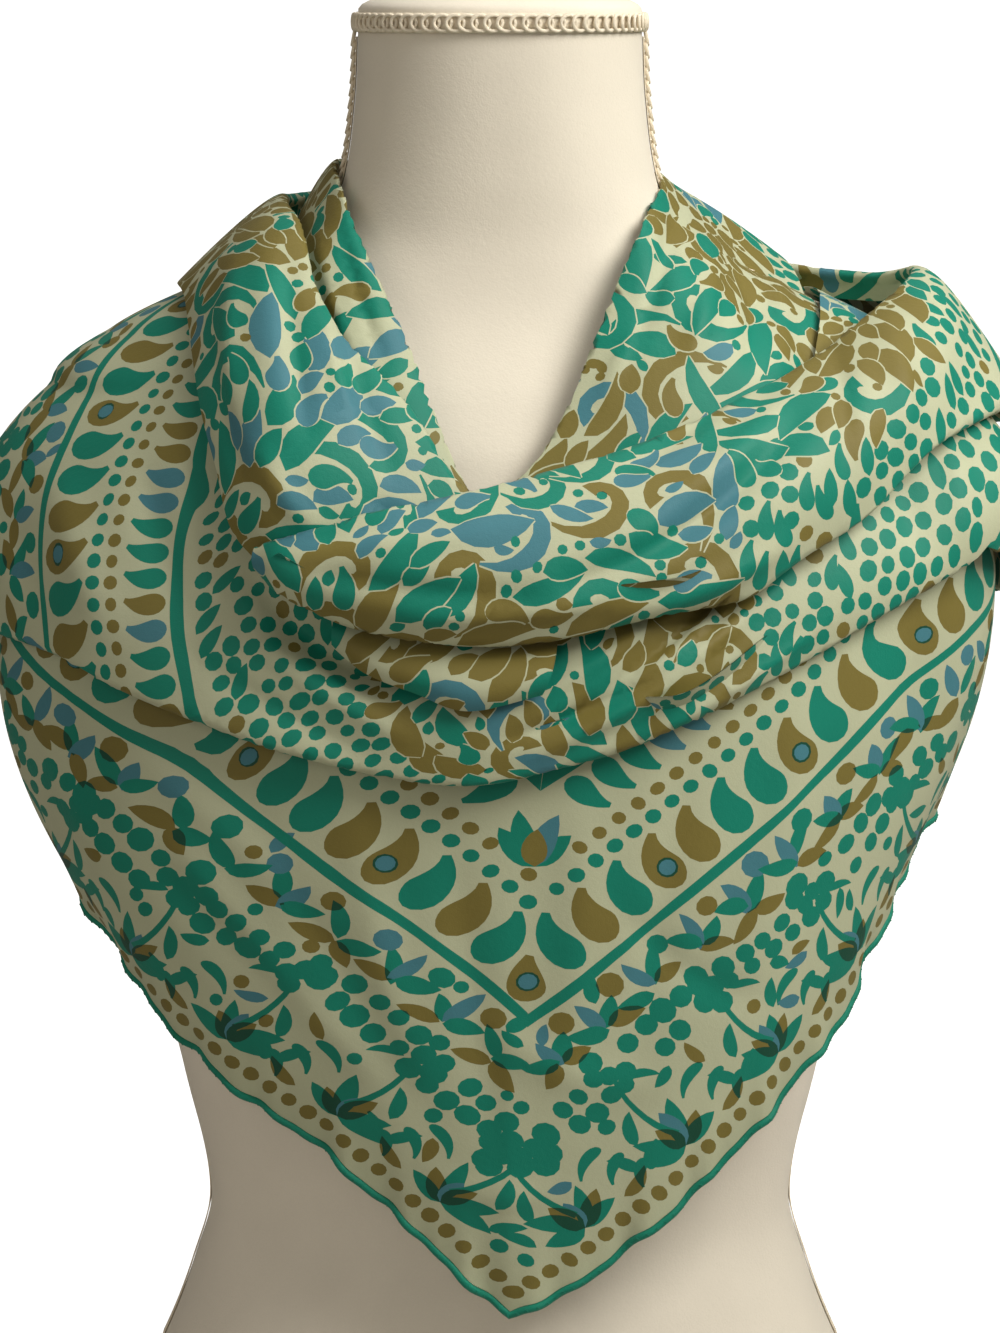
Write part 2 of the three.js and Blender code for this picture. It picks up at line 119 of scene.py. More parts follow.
profile = [(SWEEP_FRONT, 0.0), (SWEEP_BACK, 0.0)]
for k in range(1, SWEEP_STEPS + 1):
    turn = math.pi / 2 * k / SWEEP_STEPS
    rise = SWEEP_RADIUS * (1 - math.cos(turn))
    profile.append((SWEEP_BACK + SWEEP_RADIUS * math.sin(turn), rise))
profile.append((SWEEP_BACK + SWEEP_RADIUS, SWEEP_HIGH))
points = [(x, y, z) for y, z in profile for x in (-SWEEP_HALF, SWEEP_HALF)]
faces = [(2 * i, 2 * i + 1, 2 * i + 3, 2 * i + 2) for i in range(len(profile) - 1)]
backdrop = make_mesh("backdrop", points, faces)
paper, shader = new_material("backdrop_paper", base_color=(0.42, 0.40, 0.37, 1), roughness=0.95,
                             emission_color=(1, 1, 1, 1))
camera_ray = paper.node_tree.nodes.new("ShaderNodeLightPath").outputs["Is Camera Ray"]
paper.node_tree.links.new(camera_ray, shader.inputs["Emission Strength"])
backdrop.data.materials.append(paper)

LIGHT_COLUMNS = ("name", "place", "aim", "size", "power", "colour")
LIGHTS = [
    ("key", (0.85, -0.65, 1.35), (0, -0.02, 0.5), 0.7, 19.5, (1.0, 0.985, 0.94)),
    ("fill", (-1.3, -2.0, 1.2), (0, 0, 0.4), 1.4, 7, (1.0, 0.94, 0.85)),
    ("top", (0.3, 0.2, 2.2), (0, 0, 0.5), 1.2, 8.5, (1.0, 0.99, 0.97)),
]
for row in LIGHTS:
    light = dict(zip(LIGHT_COLUMNS, row))
    data = bpy.data.lights.new(light["name"], "AREA")
    data.size = light["size"]
    data.energy = light["power"]
    data.color = light["colour"]
    lamp = bpy.data.objects.new(light["name"], data)
    lamp.location = light["place"]
    towards = Vector(light["aim"]) - Vector(light["place"])
    lamp.rotation_euler = towards.to_track_quat("-Z", "Y").to_euler()
    scene.collection.objects.link(lamp)

WORLD_COLOUR = (1.0, 0.94, 0.85, 1)
WORLD_GLOW, WORLD_SEEN = 0.26, 1.3  # what lights the form, and what the camera sees
world = bpy.data.worlds.new("studio")
world.use_nodes = True
sky = world.node_tree
sky.nodes["Background"].inputs["Color"].default_value = WORLD_COLOUR
ray = sky.nodes.new("ShaderNodeLightPath").outputs["Is Camera Ray"]
glow = sky.nodes.new("ShaderNodeMapRange")
glow.inputs["To Min"].default_value = WORLD_GLOW
glow.inputs["To Max"].default_value = WORLD_SEEN
sky.links.new(ray, glow.inputs["Value"])
sky.links.new(glow.outputs[0], sky.nodes["Background"].inputs["Strength"])
scene.world = world
print(len(LIGHTS), "lights")

# %% [markdown]
# The form is a stack of level sections, each a squared-off ellipse. The same table and the same
# formula give the form's surface and, later, keep every layer of cloth clear of it.
# %% The form's sections
FORM_TOP = 676
CAP_EDGE = 5
CAP_RISE = 9
SEAM_GAP = 0.3
SECTION_POWER = 2.25
NO_CORNER = -9  # a row number that no table has
FORM_COLUMNS = ("z", "wide", "front", "back")
FORM_SECTIONS = np.array([
    [0, 172, 112, 106],
    [50, 166, 114, 110],
    [114, 146, 104, 98],
    [150, 132, 95, 88],
    [183, 124, 90, 82],
    [235, 134, 95, 82],
    [290, 146, 112, 87],
    [340, 152, 124, 92],
    [385, 156, 126, 96],
    [430, 162, 119, 98],
    [475, 173, 106, 97],
    [510, 182, 92, 93],
    [533, 176, 78, 86],
    [552, 146, 66, 78],
    [570, 108, 59, 71],
    [590, 76, 56, 64],
    [612, 64, 57, 59],
    [645, 59, 59, 55],
    [676, 57.5, 61, 52],
], float)


def row_at(table, places, corner=NO_CORNER):
    """Smooth in-between rows of a table, a Catmull-Rom curve that keeps a kink at a corner row."""
    last = len(table) - 1
    i = np.clip(np.floor(places).astype(int), 0, last - 1)
    f = np.clip(places - i, 0, 1)[:, None]
    a, b = table[i], table[i + 1]
    starts = ((i == 0) | (i == corner))[:, None]
    stops = ((i + 1 == last) | (i + 1 == corner))[:, None]
    p = np.where(starts, 2 * a - b, table[np.maximum(i - 1, 0)])
    n = np.where(stops, 2 * b - a, table[np.minimum(i + 2, last)])
    bend = (2 * p - 5 * a + 4 * b - n) * f**2 + (3 * a - p - 3 * b + n) * f**3
    return a + 0.5 * ((b - p) * f + bend)


def form_section(z):
    """Half width, depth to the front and depth to the back at heights z."""
    levels = FORM_SECTIONS[:, 0]
    i = np.clip(np.searchsorted(levels, z, side="right") - 1, 0, len(levels) - 2)
    places = i + np.clip((z - levels[i]) / (levels[i + 1] - levels[i]), 0, 1)
    rows = row_at(FORM_SECTIONS, places)
    return rows[:, 1], rows[:, 2], rows[:, 3]


def form_value(p):
    """Zero on the form's surface and positive outside it."""
    wide, front, back = form_section(p[:, 2])
    depth = np.where(p[:, 1] < 0, front, back)
    across = (np.abs(p[:, 0]) / wide) ** SECTION_POWER
    return (across + (np.abs(p[:, 1]) / depth) ** SECTION_POWER) ** (1 / SECTION_POWER) - 1


def unit(v):
    """Vectors brought to length one."""
    return v / np.maximum(np.linalg.norm(v, axis=-1, keepdims=True), 1e-9)


def rest_on_form(grid, clearance, steps=6, longest=6):
    """Moves points outwards until they are clear of the form."""
    p = grid.reshape(-1, 3).copy()
    probe = 0.5 * np.eye(3)
    for _ in range(steps):
        slope = np.stack([form_value(p + h) - form_value(p - h) for h in probe], axis=1)
        steep = np.maximum(np.linalg.norm(slope, axis=1), 1e-9)
        short = clearance - form_value(p) / steep
        move = np.clip(short, 0, longest)[:, None]
        p += slope / steep[:, None] * move
    return p.reshape(grid.shape)


print("form sections", len(FORM_SECTIONS))

# %% [markdown]
# Fabric is never one flat colour. One node group gives any cloth here its fine weave, a little
# unevenness of tone and the small crinkle of crepe, as a tint to multiply and a height for a bump.
# It reads object coordinates, so it doesn't slide.
# %% Weave group
def node(tree, kind, **settings):
    """A new node with its settings."""
    made = tree.nodes.new(kind)
    for key, value in settings.items():
        setattr(made, key, value)
    return made


def feed(tree, value, socket):
    """Links one socket to another, or sets the other to a plain value."""
    if isinstance(value, bpy.types.NodeSocket):
        tree.links.new(value, socket)
    else:
        socket.default_value = value


def math_node(tree, operation, a, b):
    """The result of a sum on two sockets or numbers."""
    made = node(tree, "ShaderNodeMath", operation=operation)
    feed(tree, a, made.inputs[0])
    feed(tree, b, made.inputs[1])
    return made.outputs[0]


def build_weave():
    """The group that every cloth's material shares."""
    tree = bpy.data.node_groups.new("cloth_weave", "ShaderNodeTree")
    face = tree.interface
    for name, value in (
        ("Thread Scale", 1400.0),
        ("Crinkle Scale", 260.0),
        ("Crinkle", 0.5),
        ("Tone Variation", 0.06),
    ):
        face.new_socket(name, in_out="INPUT", socket_type="NodeSocketFloat").default_value = value
    face.new_socket("Tint", in_out="OUTPUT", socket_type="NodeSocketFloat")
    face.new_socket("Height", in_out="OUTPUT", socket_type="NodeSocketFloat")
    inside = node(tree, "NodeGroupInput")
    outside = node(tree, "NodeGroupOutput")
    where = node(tree, "ShaderNodeTexCoord").outputs["Object"]
    link = tree.links.new

    def noise(scale, detail):
        made = node(tree, "ShaderNodeTexNoise")
        made.inputs["Detail"].default_value = detail
        link(where, made.inputs["Vector"])
        feed(tree, scale, made.inputs["Scale"])
        return made.outputs["Fac"]

    threads = noise(inside.outputs["Thread Scale"], 1.0)
    crinkle = noise(inside.outputs["Crinkle Scale"], 2.0)
    broad = noise(26.0, 2.0)
    spread = math_node(tree, "ADD", math_node(tree, "MULTIPLY", threads, 0.5), broad)
    centred = math_node(tree, "SUBTRACT", spread, 0.75)
    wave = math_node(tree, "MULTIPLY", centred, inside.outputs["Tone Variation"])
    tint = math_node(tree, "ADD", math_node(tree, "MULTIPLY", wave, 2.0), 1.0)
    folds = math_node(tree, "MULTIPLY", crinkle, inside.outputs["Crinkle"])
    height = math_node(tree, "ADD", math_node(tree, "MULTIPLY", threads, 0.35), folds)
    link(tint, outside.inputs["Tint"])
    link(height, outside.inputs["Height"])
    return tree


WEAVE = build_weave()
BUMP_DEEP = 0.0006


def weave_into(material, shader, colour, bump, **values):
    """Puts the weave group between a colour and the shader, and its height into a bump."""
    tree = material.node_tree
    group = node(tree, "ShaderNodeGroup", node_tree=WEAVE)
    for name, value in values.items():
        group.inputs[name.replace("_", " ").title()].default_value = value
    mix = node(tree, "ShaderNodeMix", data_type="RGBA", blend_type="MULTIPLY")
    mix.inputs[0].default_value = 1
    feed(tree, colour, mix.inputs[6])
    tree.links.new(group.outputs["Tint"], mix.inputs[7])
    tree.links.new(mix.outputs[2], shader.inputs["Base Color"])
    raised = node(tree, "ShaderNodeBump")
    raised.inputs["Strength"].default_value = bump
    raised.inputs["Distance"].default_value = BUMP_DEEP
    tree.links.new(group.outputs["Height"], raised.inputs["Height"])
    tree.links.new(raised.outputs["Normal"], shader.inputs["Normal"])


def linear(r, g, b):
    """A colour as seen on a screen, 0 to 255, in the linear values that a shader takes."""
    return tuple(((c / 255 + 0.055) / 1.055) ** 2.4 for c in (r, g, b)) + (1.0,)


print("weave group", len(WEAVE.nodes), "nodes")

# %% [markdown]
# The form's cover is a matt, tightly woven cotton in cream. Its mesh is the same stack of sections
# as the solid's, with many more points, so that its outline is smooth. It takes the solid's place.
# %% Dress form
FORM_SIDES = 144
FORM_STEP = 4.0


def section_ring(z, grow=0.0, sides=FORM_SIDES):
    """The form's outline at a height, grown outwards a little."""
    wide, front, back = (float(v[0]) for v in form_section(np.array([float(z)])))
    turn = np.arange(sides) / sides * 2 * math.pi
    c, s = np.cos(turn), np.sin(turn)
    depth = np.where(s < 0, front, back)
    power = 2 / SECTION_POWER
    x = (wide + grow) * np.sign(c) * np.abs(c) ** power
    y = (depth + grow) * np.sign(s) * np.abs(s) ** power
    return np.stack([x, y, np.full(sides, float(z))], axis=1)


def closed_stack(name, rings):
    """A closed body through level rings, bottom to top, with a flat fan at both ends."""
    sides = len(rings[0])
    points = np.concatenate(rings + [rings[0].mean(0)[None], rings[-1].mean(0)[None]])
    faces = []
    for r in range(len(rings) - 1):
        for i in range(sides):
            a, b = r * sides + i, r * sides + (i + 1) % sides
            faces.append((a, b, b + sides, a + sides))
    foot, crown = len(rings) * sides, len(rings) * sides + 1
    top = (len(rings) - 1) * sides
    for i in range(sides):
        faces.append((foot, (i + 1) % sides, i))
        faces.append((crown, top + i, top + (i + 1) % sides))
    return make_mesh(name, points * MM, faces)


cotton, shader = new_material("form_cotton", roughness=0.88, sheen_weight=0.12, sheen_roughness=0.6)
COVER_CREAM = linear(226, 217, 200)
weave_into(cotton, shader, COVER_CREAM, 0.34, thread_scale=1300.0, crinkle_scale=420.0,
           crinkle=0.45, tone_variation=0.06)

levels = np.append(np.arange(0, FORM_TOP, FORM_STEP), FORM_TOP)
form_body = closed_stack("dress_form_body", [section_ring(z) for z in levels])
CAP_CROWN = ((0, 0.0), (1.5, 0.2), (6, 0.45), (20, 0.82), (40, 1.0))  # drawn in, share of the rise
cap_low = FORM_TOP + SEAM_GAP
cap_rings = [section_ring(cap_low)]
for shrink, rise in CAP_CROWN:
    ring = section_ring(cap_low, -shrink)
    ring[:, 2] = cap_low + CAP_EDGE + CAP_RISE * rise
    cap_rings.append(ring)
form_cap = closed_stack("dress_form_cap", cap_rings)
for piece, solid in ((form_body, "form_body"), (form_cap, "form_neck_cap")):
    piece.data.materials.append(cotton)
    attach(piece, "root")
    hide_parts(solid)
print("form body", len(form_body.data.polygons), "faces")

# %% [markdown]
# The square is printed before it is worn. Its border runs along the rolled hem: olive dots, small
# bouquets, a band of dots, leaf sprigs, a line, a row of drops, two rows of dots, a row of commas
# and a second line. Inside that, dots thin out into a field of leaves. The whole print is drawn
# here on the flat cloth, in millimetres from its front corner: u along the left hem and v along
# the right one. Each motif is the outline of a brush stroke, made by a function.
# %% Brush strokes
SQUARE = 780.0
CREAM, TEAL, OLIVE, BLUE, DEEP = range(5)
INK_COLOURS = {
    CREAM: linear(180, 183, 152),
    TEAL: linear(10, 122, 101),
    OLIVE: linear(117, 105, 50),
    BLUE: linear(66, 120, 131),
    DEEP: linear(16, 70, 52),
}
motifs = []  # outline, ink, and whether it hides what is printed under it
draw = random.Random(11)
taken = np.zeros((int(SQUARE) + 1, int(SQUARE) + 1), bool)  # millimetre cells under ink


def cells_of(outline):
    """The millimetre cells of the square whose middles lie inside an outline."""
    low = np.clip(np.floor(outline.min(0)), 1, SQUARE - 1).astype(int)
    high = np.clip(np.ceil(outline.max(0)), 1, SQUARE - 1).astype(int)
    x, y = np.meshgrid(np.arange(low[0], high[0] + 1), np.arange(low[1], high[1] + 1))
    a, b = outline, np.roll(outline, -1, axis=0)
    level = y[..., None]
    crosses = (a[:, 1] > level) != (b[:, 1] > level)
    rise = np.where(b[:, 1] == a[:, 1], 1.0, b[:, 1] - a[:, 1])
    at = a[:, 0] + (level - a[:, 1]) * (b[:, 0] - a[:, 0]) / rise
    inside = np.sum(crosses & (x[..., None] < at), axis=-1) % 2 == 1
    return x[inside], y[inside]


def turned(outline):
    """The outline anticlockwise, which the net of triangles needs."""
    x, y = outline[:, 0], outline[:, 1]
    return outline[::-1] if np.sum(x * np.roll(y, -1) - y * np.roll(x, -1)) < 0 else outline


def add_motif(outline, ink, cover=False, room=None):
    """Keeps an outline. With room, only if no more than that share of its cells is taken."""
    cells = cells_of(outline)
    if room is not None and (not len(cells[0]) or taken[cells].mean() > room):
        return False
    for dx, dy in ((0, 0), (1, 0), (0, 1)):
        taken[cells[0] + dx, cells[1] + dy] = True
    motifs.append((turned(outline), ink, cover))
    return True


def outline_of(path, widths):
    """The closed outline of a brush stroke: a path with a half width at each point."""
    along = unit(np.gradient(path, axis=0))
    side = np.stack([-along[:, 1], along[:, 0]], axis=1)
    outline = np.concatenate([path + side * widths, (path - side * widths)[::-1]])
    return outline[np.linalg.norm(outline - np.roll(outline, 1, axis=0), axis=1) > 0.12]


HALO = 0.6  # width of the bare line left round a stroke that lies over others


def stroke(path, widths, ink, cover=False, room=None, halo=False):
    """Prints a brush stroke, with a bare line round it if it has a halo."""
    path = np.asarray(path, float)
    widths = np.asarray(widths, float)[:, None]
    if add_motif(outline_of(path, widths), ink, cover, room) and halo:
        motifs.insert(-1, (turned(outline_of(path, widths + HALO)), CREAM, True))


def bent(x, y, angle, length, bend, count, t=None):
    """Points on an arc that leaves a point at an angle and turns by bend."""
    t = np.linspace(0, 1, count) if t is None else t
    turn = angle + bend * (t - 0.5)
    step = length * np.diff(t)
    dx = np.concatenate([[0], np.cumsum(np.cos((turn[1:] + turn[:-1]) / 2) * step)])
    dy = np.concatenate([[0], np.cumsum(np.sin((turn[1:] + turn[:-1]) / 2) * step)])
    return np.stack([x + dx, y + dy], axis=1), t


def leaf(x, y, angle, length, width, bend, ink, **options):
    """A leaf, pointed at both ends."""
    path, t = bent(x, y, angle, length, bend, 8)
    stroke(path, 0.5 * width * np.sin(np.pi * t**0.8) ** 0.75 + 0.08, ink, **options)


HEAD_END = 0.3  # share of a drop's length that its round head takes


def drop(x, y, angle, length, width, bend, ink, **options):
    """A paisley drop: a round head at the start and a tail that curls at the other end."""
    head_turn = np.linspace(0, math.pi / 2, 5)
    t = np.concatenate([HEAD_END * (1 - np.cos(head_turn)), np.linspace(HEAD_END, 1, 8)[1:]])
    path, t = bent(x, y, angle, length, bend, len(t), t)
    head = np.sqrt(np.clip(1 - ((t - HEAD_END) / HEAD_END) ** 2, 0, 1))
    tail = np.cos(np.clip((t - HEAD_END) / (1 - HEAD_END), 0, 1) * math.pi / 2)
    tail = 0.2 + 0.8 * tail**1.2
    stroke(path, 0.5 * width * np.where(t < HEAD_END, head, tail) + 0.05, ink, **options)


def dot(x, y, radius, ink, sides=11, **options):
    """A dot, a little longer one way than the other."""
    turn = np.arange(sides) / sides * 2 * math.pi + draw.random()
    wide = radius * (1 + draw.uniform(-0.1, 0.1))
    high = radius * (1 + draw.uniform(-0.1, 0.1))
    outline = np.stack([x + wide * np.cos(turn), y + high * np.sin(turn)], axis=1)
    add_motif(outline, ink, **options)


LINE_STEP = 3.0


def square_line(inset, width):
    """A hand-drawn line all round the square at a distance from its hem, mitred at the corners."""
    far = SQUARE - inset
    corners = [(inset, inset), (far, inset), (far, far), (inset, far)]
    for k in range(4):
        a, b = np.array(corners[k]), np.array(corners[(k + 1) % 4])
        whole = np.linalg.norm(b - a)
        t = np.linspace(0, 1, int(whole / LINE_STEP))[:, None]
        along = (b - a) / whole
        inward = np.array([-along[1], along[0]])
        s = t[:, 0] * whole
        wobble = 0.22 * np.sin(s / 17 + k) + 0.15 * np.sin(s / 7.3)
        half = width / 2 + 0.2 * np.sin(s / 11 + 2 * k)
        mitre = np.clip(np.minimum(s, s[-1] - s), 0, width / 2)
        mid = a + (b - a) * t
        trim = np.sign(s[-1] / 2 - s) * (width / 2 - mitre)
        outer = mid + inward * (wobble - half)[:, None] - along * trim[:, None]
        inner = mid + inward * (wobble + half)[:, None] + along * trim[:, None]
        add_motif(np.concatenate([outer, inner[::-1]]), TEAL)


print("strokes ready")

# %% [markdown]
# The border's motifs stand in rows, each at its own distance in from the hem. They are placed along
# the left hem and then, mirrored, along the right one.
# %% Border motifs
BORDER_END = 772.0  # how far along the hem the border is drawn from the corner
HEM_DOTS_IN = 8.0
BERRIES_IN = 51
BERRY_ROWS_APART = 9
SPRIGS_IN = 72
SPRIG_BERRIES_IN = 84
PAISLEYS_IN = 97.5
EYES_IN = 105.5
TEAL_DOTS_IN = 125.0
OLIVE_DOTS_IN = 132.5
COMMAS_IN = 155.5
FAN_IN = 136


def along_hem(start, pitch):
    """Distances from the corner, along a hem, at an even pitch."""
    g = start
    while g < BORDER_END:
        yield g
        g += pitch


def on_side(side, g, k):
    """A point g along the hem and k in from it, on the left (0) or right (1) side."""
    return (g, k) if side == 0 else (k, g)


def side_angle(side, angle):
    """An angle from the hem's direction, turned the way that side is mirrored."""
    return angle if side == 0 else math.pi / 2 - angle


def side_bend(side, bend):
    """A bend, mirrored on the right side."""
    return bend if side == 0 else -bend


def put(maker, side, g, k, angle, length, width, bend, ink, **options):
    """Prints a leaf or a drop on one side's border."""
    x, y = on_side(side, g, k)
    maker(x, y, side_angle(side, angle), length, width, side_bend(side, bend), ink, **options)


def put_dot(side, g, k, radius, ink, **options):
    """Prints a dot on one side's border."""
    x, y = on_side(side, g, k)
    dot(x, y, radius, ink, **options)


def eye(x, y):
    """A blue dot with a dark rim, over a drop."""
    dot(x, y, 4.0, DEEP, cover=True)
    dot(x, y, 3.2, BLUE, cover=True)


def bouquet(side, g, k=15.0):
    """Leaves that fan out of one root, with a curved stem and berries above them."""
    inks = (TEAL, OLIVE, TEAL, BLUE, OLIVE, TEAL, TEAL)
    for i, ink in enumerate(inks):
        angle = math.radians(14 + 152 * i / (len(inks) - 1) + draw.uniform(-7, 7))
        length = draw.uniform(14, 20) * (1.15 if ink == TEAL else 0.9)
        put(leaf, side, g, k, angle, length, draw.uniform(6.4, 8.4), draw.uniform(-0.5, 0.5), ink)
    x, y = on_side(side, g + 1, k + 6)
    path, t = bent(x, y, side_angle(side, math.radians(95)), 34, side_bend(side, -0.9), 8)
    stroke(path, 1.5 * (1 - 0.4 * t), TEAL)
    tip_g, tip_k = on_side(side, *path[-1])
    for i in range(6):
        turn = i / 6 * 2 * math.pi + draw.random()
        far = 0 if i == 0 else draw.uniform(5.5, 8.5)
        put_dot(side, tip_g + far * math.cos(turn), tip_k + 3 + far * math.sin(turn),
                draw.uniform(3.5, 5.2), TEAL)
    put(leaf, side, tip_g + 4, tip_k - 2, math.radians(-35), 13, 3.4, -0.9, TEAL)


def sprig(side, g, k):
    """A little branch of leaves beside the first line."""
    lean = draw.uniform(-0.3, 0.3)
    inks = (OLIVE, TEAL, BLUE, TEAL, OLIVE)
    for i, ink in enumerate(inks):
        angle = math.radians(-20 + 55 * i) + lean
        put(leaf, side, g + draw.uniform(-2, 2), k + draw.uniform(-2, 2), angle,
            draw.uniform(12, 18), draw.uniform(5.4, 7.4), draw.uniform(-0.8, 0.8), ink, room=0.45)


for side in (0, 1):
    for g in along_hem(7.0, 9.0):
        put_dot(side, g, HEM_DOTS_IN, 3.2, OLIVE)
    for g in along_hem(54.0 - 6 * side, 52.0):
        bouquet(side, g)
        for i in range(3):
            put(drop, side, g + 27 + 5 * i, 36 - 7 * i, math.radians(200 + 12 * i),
                17 - 2 * i, 4.6, 1.3, TEAL)
        put(leaf, side, g + 20, 15, math.radians(20), 16, 5, 0.8, OLIVE)
        put(drop, side, g + 36, 17, math.radians(40), 13, 5.5, -1.0, TEAL)
        put(leaf, side, g - 20, 19, math.radians(120), 14, 5, 0.6, TEAL)
        put(leaf, side, g - 14, 28, math.radians(60), 15, 5.5, -0.8, TEAL)
    for g in along_hem(66.0, 9.2):
        for row in range(2):
            k = BERRIES_IN + BERRY_ROWS_APART * row + 3 * math.sin(g / 19 + row)
            put_dot(side, g + draw.uniform(-1, 1), k, draw.uniform(3.5, 4.9), TEAL, room=0.3)
    for g in along_hem(88.0, 23.0):
        sprig(side, g, SPRIGS_IN)
        radius = draw.uniform(4.0, 5.0)
        put_dot(side, g + 12, SPRIG_BERRIES_IN, radius, draw.choice((BLUE, OLIVE, TEAL)))

drop(PAISLEYS_IN, PAISLEYS_IN, math.pi / 4, 19, 13, 0.4, OLIVE)
eye(103.5, 103.0)
CORNER_FAN = ((8, 19, TEAL), (84, 17, TEAL), (62, 22, BLUE), (30, 23, TEAL), (46, 15, OLIVE))
for angle, length, ink in CORNER_FAN:
    leaf(FAN_IN, FAN_IN, math.radians(angle), length, 8, 0.3, ink, cover=True)
PAISLEYS = (TEAL, OLIVE, TEAL, "eye", OLIVE, TEAL, TEAL, "eye")
for side in (0, 1):
    for i, g in enumerate(along_hem(124.0, 15.5)):
        kind = PAISLEYS[i % len(PAISLEYS)]
        ink = OLIVE if kind == "eye" else kind
        put(drop, side, g, PAISLEYS_IN, math.radians(84), 25, 13, -1.5, ink)
        if kind == "eye":
            eye(*on_side(side, g - 2.2, EYES_IN))
    for g in along_hem(127.0, 8.4):
        put_dot(side, g, TEAL_DOTS_IN, 2.8, TEAL, room=0.1)
        put_dot(side, g + 8, OLIVE_DOTS_IN, 2.6, OLIVE, room=0.1)
COMMAS = (TEAL, TEAL, TEAL, BLUE, BLUE, OLIVE, OLIVE, TEAL, TEAL, BLUE, OLIVE)
for side in (0, 1):
    for i, g in enumerate(along_hem(168.0, 10.8)):
        put(drop, side, g, COMMAS_IN, math.radians(-84), 18, 8.8, 0.9, COMMAS[i % len(COMMAS)])
print(len(motifs), "motifs after the border")

# %% [markdown]
# Inside the border a field of dots thins out into leaves, drops and scrolls. It is a plain design of
# this script's own: passes from large to small fill what room is left, and slow waves settle which
# way each motif lies and which ink it has.
# %% Dots and leaves of the middle
NET_ROWS = 0.87  # how far apart a staggered net's rows lie, as a share of its pitch
FIELD_FROM = 169.0
FIELD_TO = 206.0
FIELD_PITCH = 9.4


def inset_of(u, v):
    """How far in from the nearest hem a place lies."""
    return min(u, v, SQUARE - u, SQUARE - v)


def field_end(u, v):
    """Where the dots give way to leaves: a wavy line with a deep bay half way along each side."""
    g = max(u, v)
    bay = 52 * math.exp(-(((g - 400) / 62) ** 2))
    return FIELD_TO + bay + 6 * math.sin(u / 19) + 5 * math.sin(v / 15)


def scattered(pitch, stray):
    """Places on a staggered grid over the half of the square nearer the front, each a bit off."""
    for i in range(int(SQUARE / pitch)):
        for j in range(int(SQUARE / pitch / NET_ROWS)):
            u = (i + 0.5 * (j % 2)) * pitch + draw.uniform(-stray, stray)
            v = j * pitch * NET_ROWS + draw.uniform(-stray, stray)
            if u + v < SQUARE + 8:
                yield u, v


for u, v in scattered(FIELD_PITCH, 1.2):
    if not FIELD_FROM < inset_of(u, v) < field_end(u, v):
        continue
    chance = draw.random()
    if chance < 0.12:
        leaf(u - 4, v - 4, draw.uniform(0.5, 1.1), 15, 6.2, 0.3, TEAL, room=0.2)
    elif chance < 0.3 and inset_of(u, v) > FIELD_TO:
        drop(u, v, draw.uniform(0.4, 1.2), 15, 6.4, 1.0, TEAL, room=0.2)
    else:
        dot(u, v, draw.uniform(3.0, 4.2), OLIVE if draw.random() < 0.06 else TEAL, sides=10, room=0.3)


def flow(u, v):
    """The direction that leaves lie in: it winds slowly over the middle of the square."""
    waves = 0.8 + 1.5 * math.sin(u / 46 + 0.6) + 1.3 * math.sin(v / 41 - 0.9)
    return waves + 0.7 * math.sin((u + v) / 63)


def leading_ink(u, v):
    """Which ink leads at a place, from slow waves; over the front's middle the inks are mixed."""
    lead = 0.6 * math.sin(u / 31 + 1.7 * math.sin(v / 57)) + 0.5 * math.sin(v / 27 + u / 80)
    mixed = math.exp(-((u - v) / 120) ** 2 - ((u + v - 490) / 140) ** 2)
    lead += draw.uniform(-0.55, 0.55) - mixed * (0.7 * lead + 0.25)
    return OLIVE if lead > 0.08 else BLUE if lead < -0.62 else TEAL


def curl(u, v, angle, size, ink):
    """A long scroll that winds in to a round end."""
    turn = angle + np.linspace(0, 1, 12) ** 1.4 * draw.choice((-4.4, 4.4))
    step = size / 11 * np.linspace(1.5, 0.5, 11)[:, None]
    path = np.cumsum(np.stack([np.cos(turn[1:]), np.sin(turn[1:])], axis=1) * step, axis=0)
    path = np.concatenate([[[u, v]], path + [u, v]])
    widths = np.interp(np.linspace(0, 1, 12), [0, 0.3, 0.85, 1], [0.4, 3.8, 2.6, 3.8])
    stroke(path, widths, ink, cover=True, room=0.1, halo=True)


PASS_COLUMNS = ("kind", "pitch", "stray", "room")
MIDDLE_PASSES = [
    ("curl", 31.0, 5.0, 0.08),
    ("large", 15.0, 4.0, 0.3),
    ("medium", 7.0, 2.4, 0.34),
    ("medium", 6.0, 2.2, 0.26),
    ("small", 4.2, 1.4, 0.12),
    ("small", 3.9, 1.4, 0.10),
]
for kind, pitch, stray, room in MIDDLE_PASSES:
    over = {"room": room, "halo": True, "cover": True}
    for u, v in scattered(pitch, stray):
        if inset_of(u, v) < field_end(u, v):
            continue
        ink = leading_ink(u, v)
        angle = flow(u, v) + draw.uniform(-0.45, 0.45)
        shape = draw.random()
        bend = draw.choice((-1, 1)) * draw.uniform(0.3, 1.2)
        if kind == "curl":
            curl(u, v, angle, draw.uniform(44, 62), draw.choice((OLIVE, BLUE, TEAL, OLIVE)))
        elif kind == "large":
            leaf(u, v, angle, draw.uniform(22, 34), draw.uniform(8, 12), bend, ink, **over)
        elif kind == "medium" and shape < 0.62:
            leaf(u, v, angle, draw.uniform(12, 18), draw.uniform(6.2, 8.6), bend, ink, **over)
        elif kind == "medium":
            drop(u, v, angle, draw.uniform(12, 18), draw.uniform(6.8, 9), 1.4 * bend, ink, **over)
        elif shape < 0.5:
            leaf(u, v, angle, draw.uniform(6, 9), draw.uniform(3.4, 4.6), bend, ink, room=room)
        else:
            dot(u, v, draw.uniform(1.8, 2.7), TEAL if ink == BLUE else ink, sides=8, room=room)
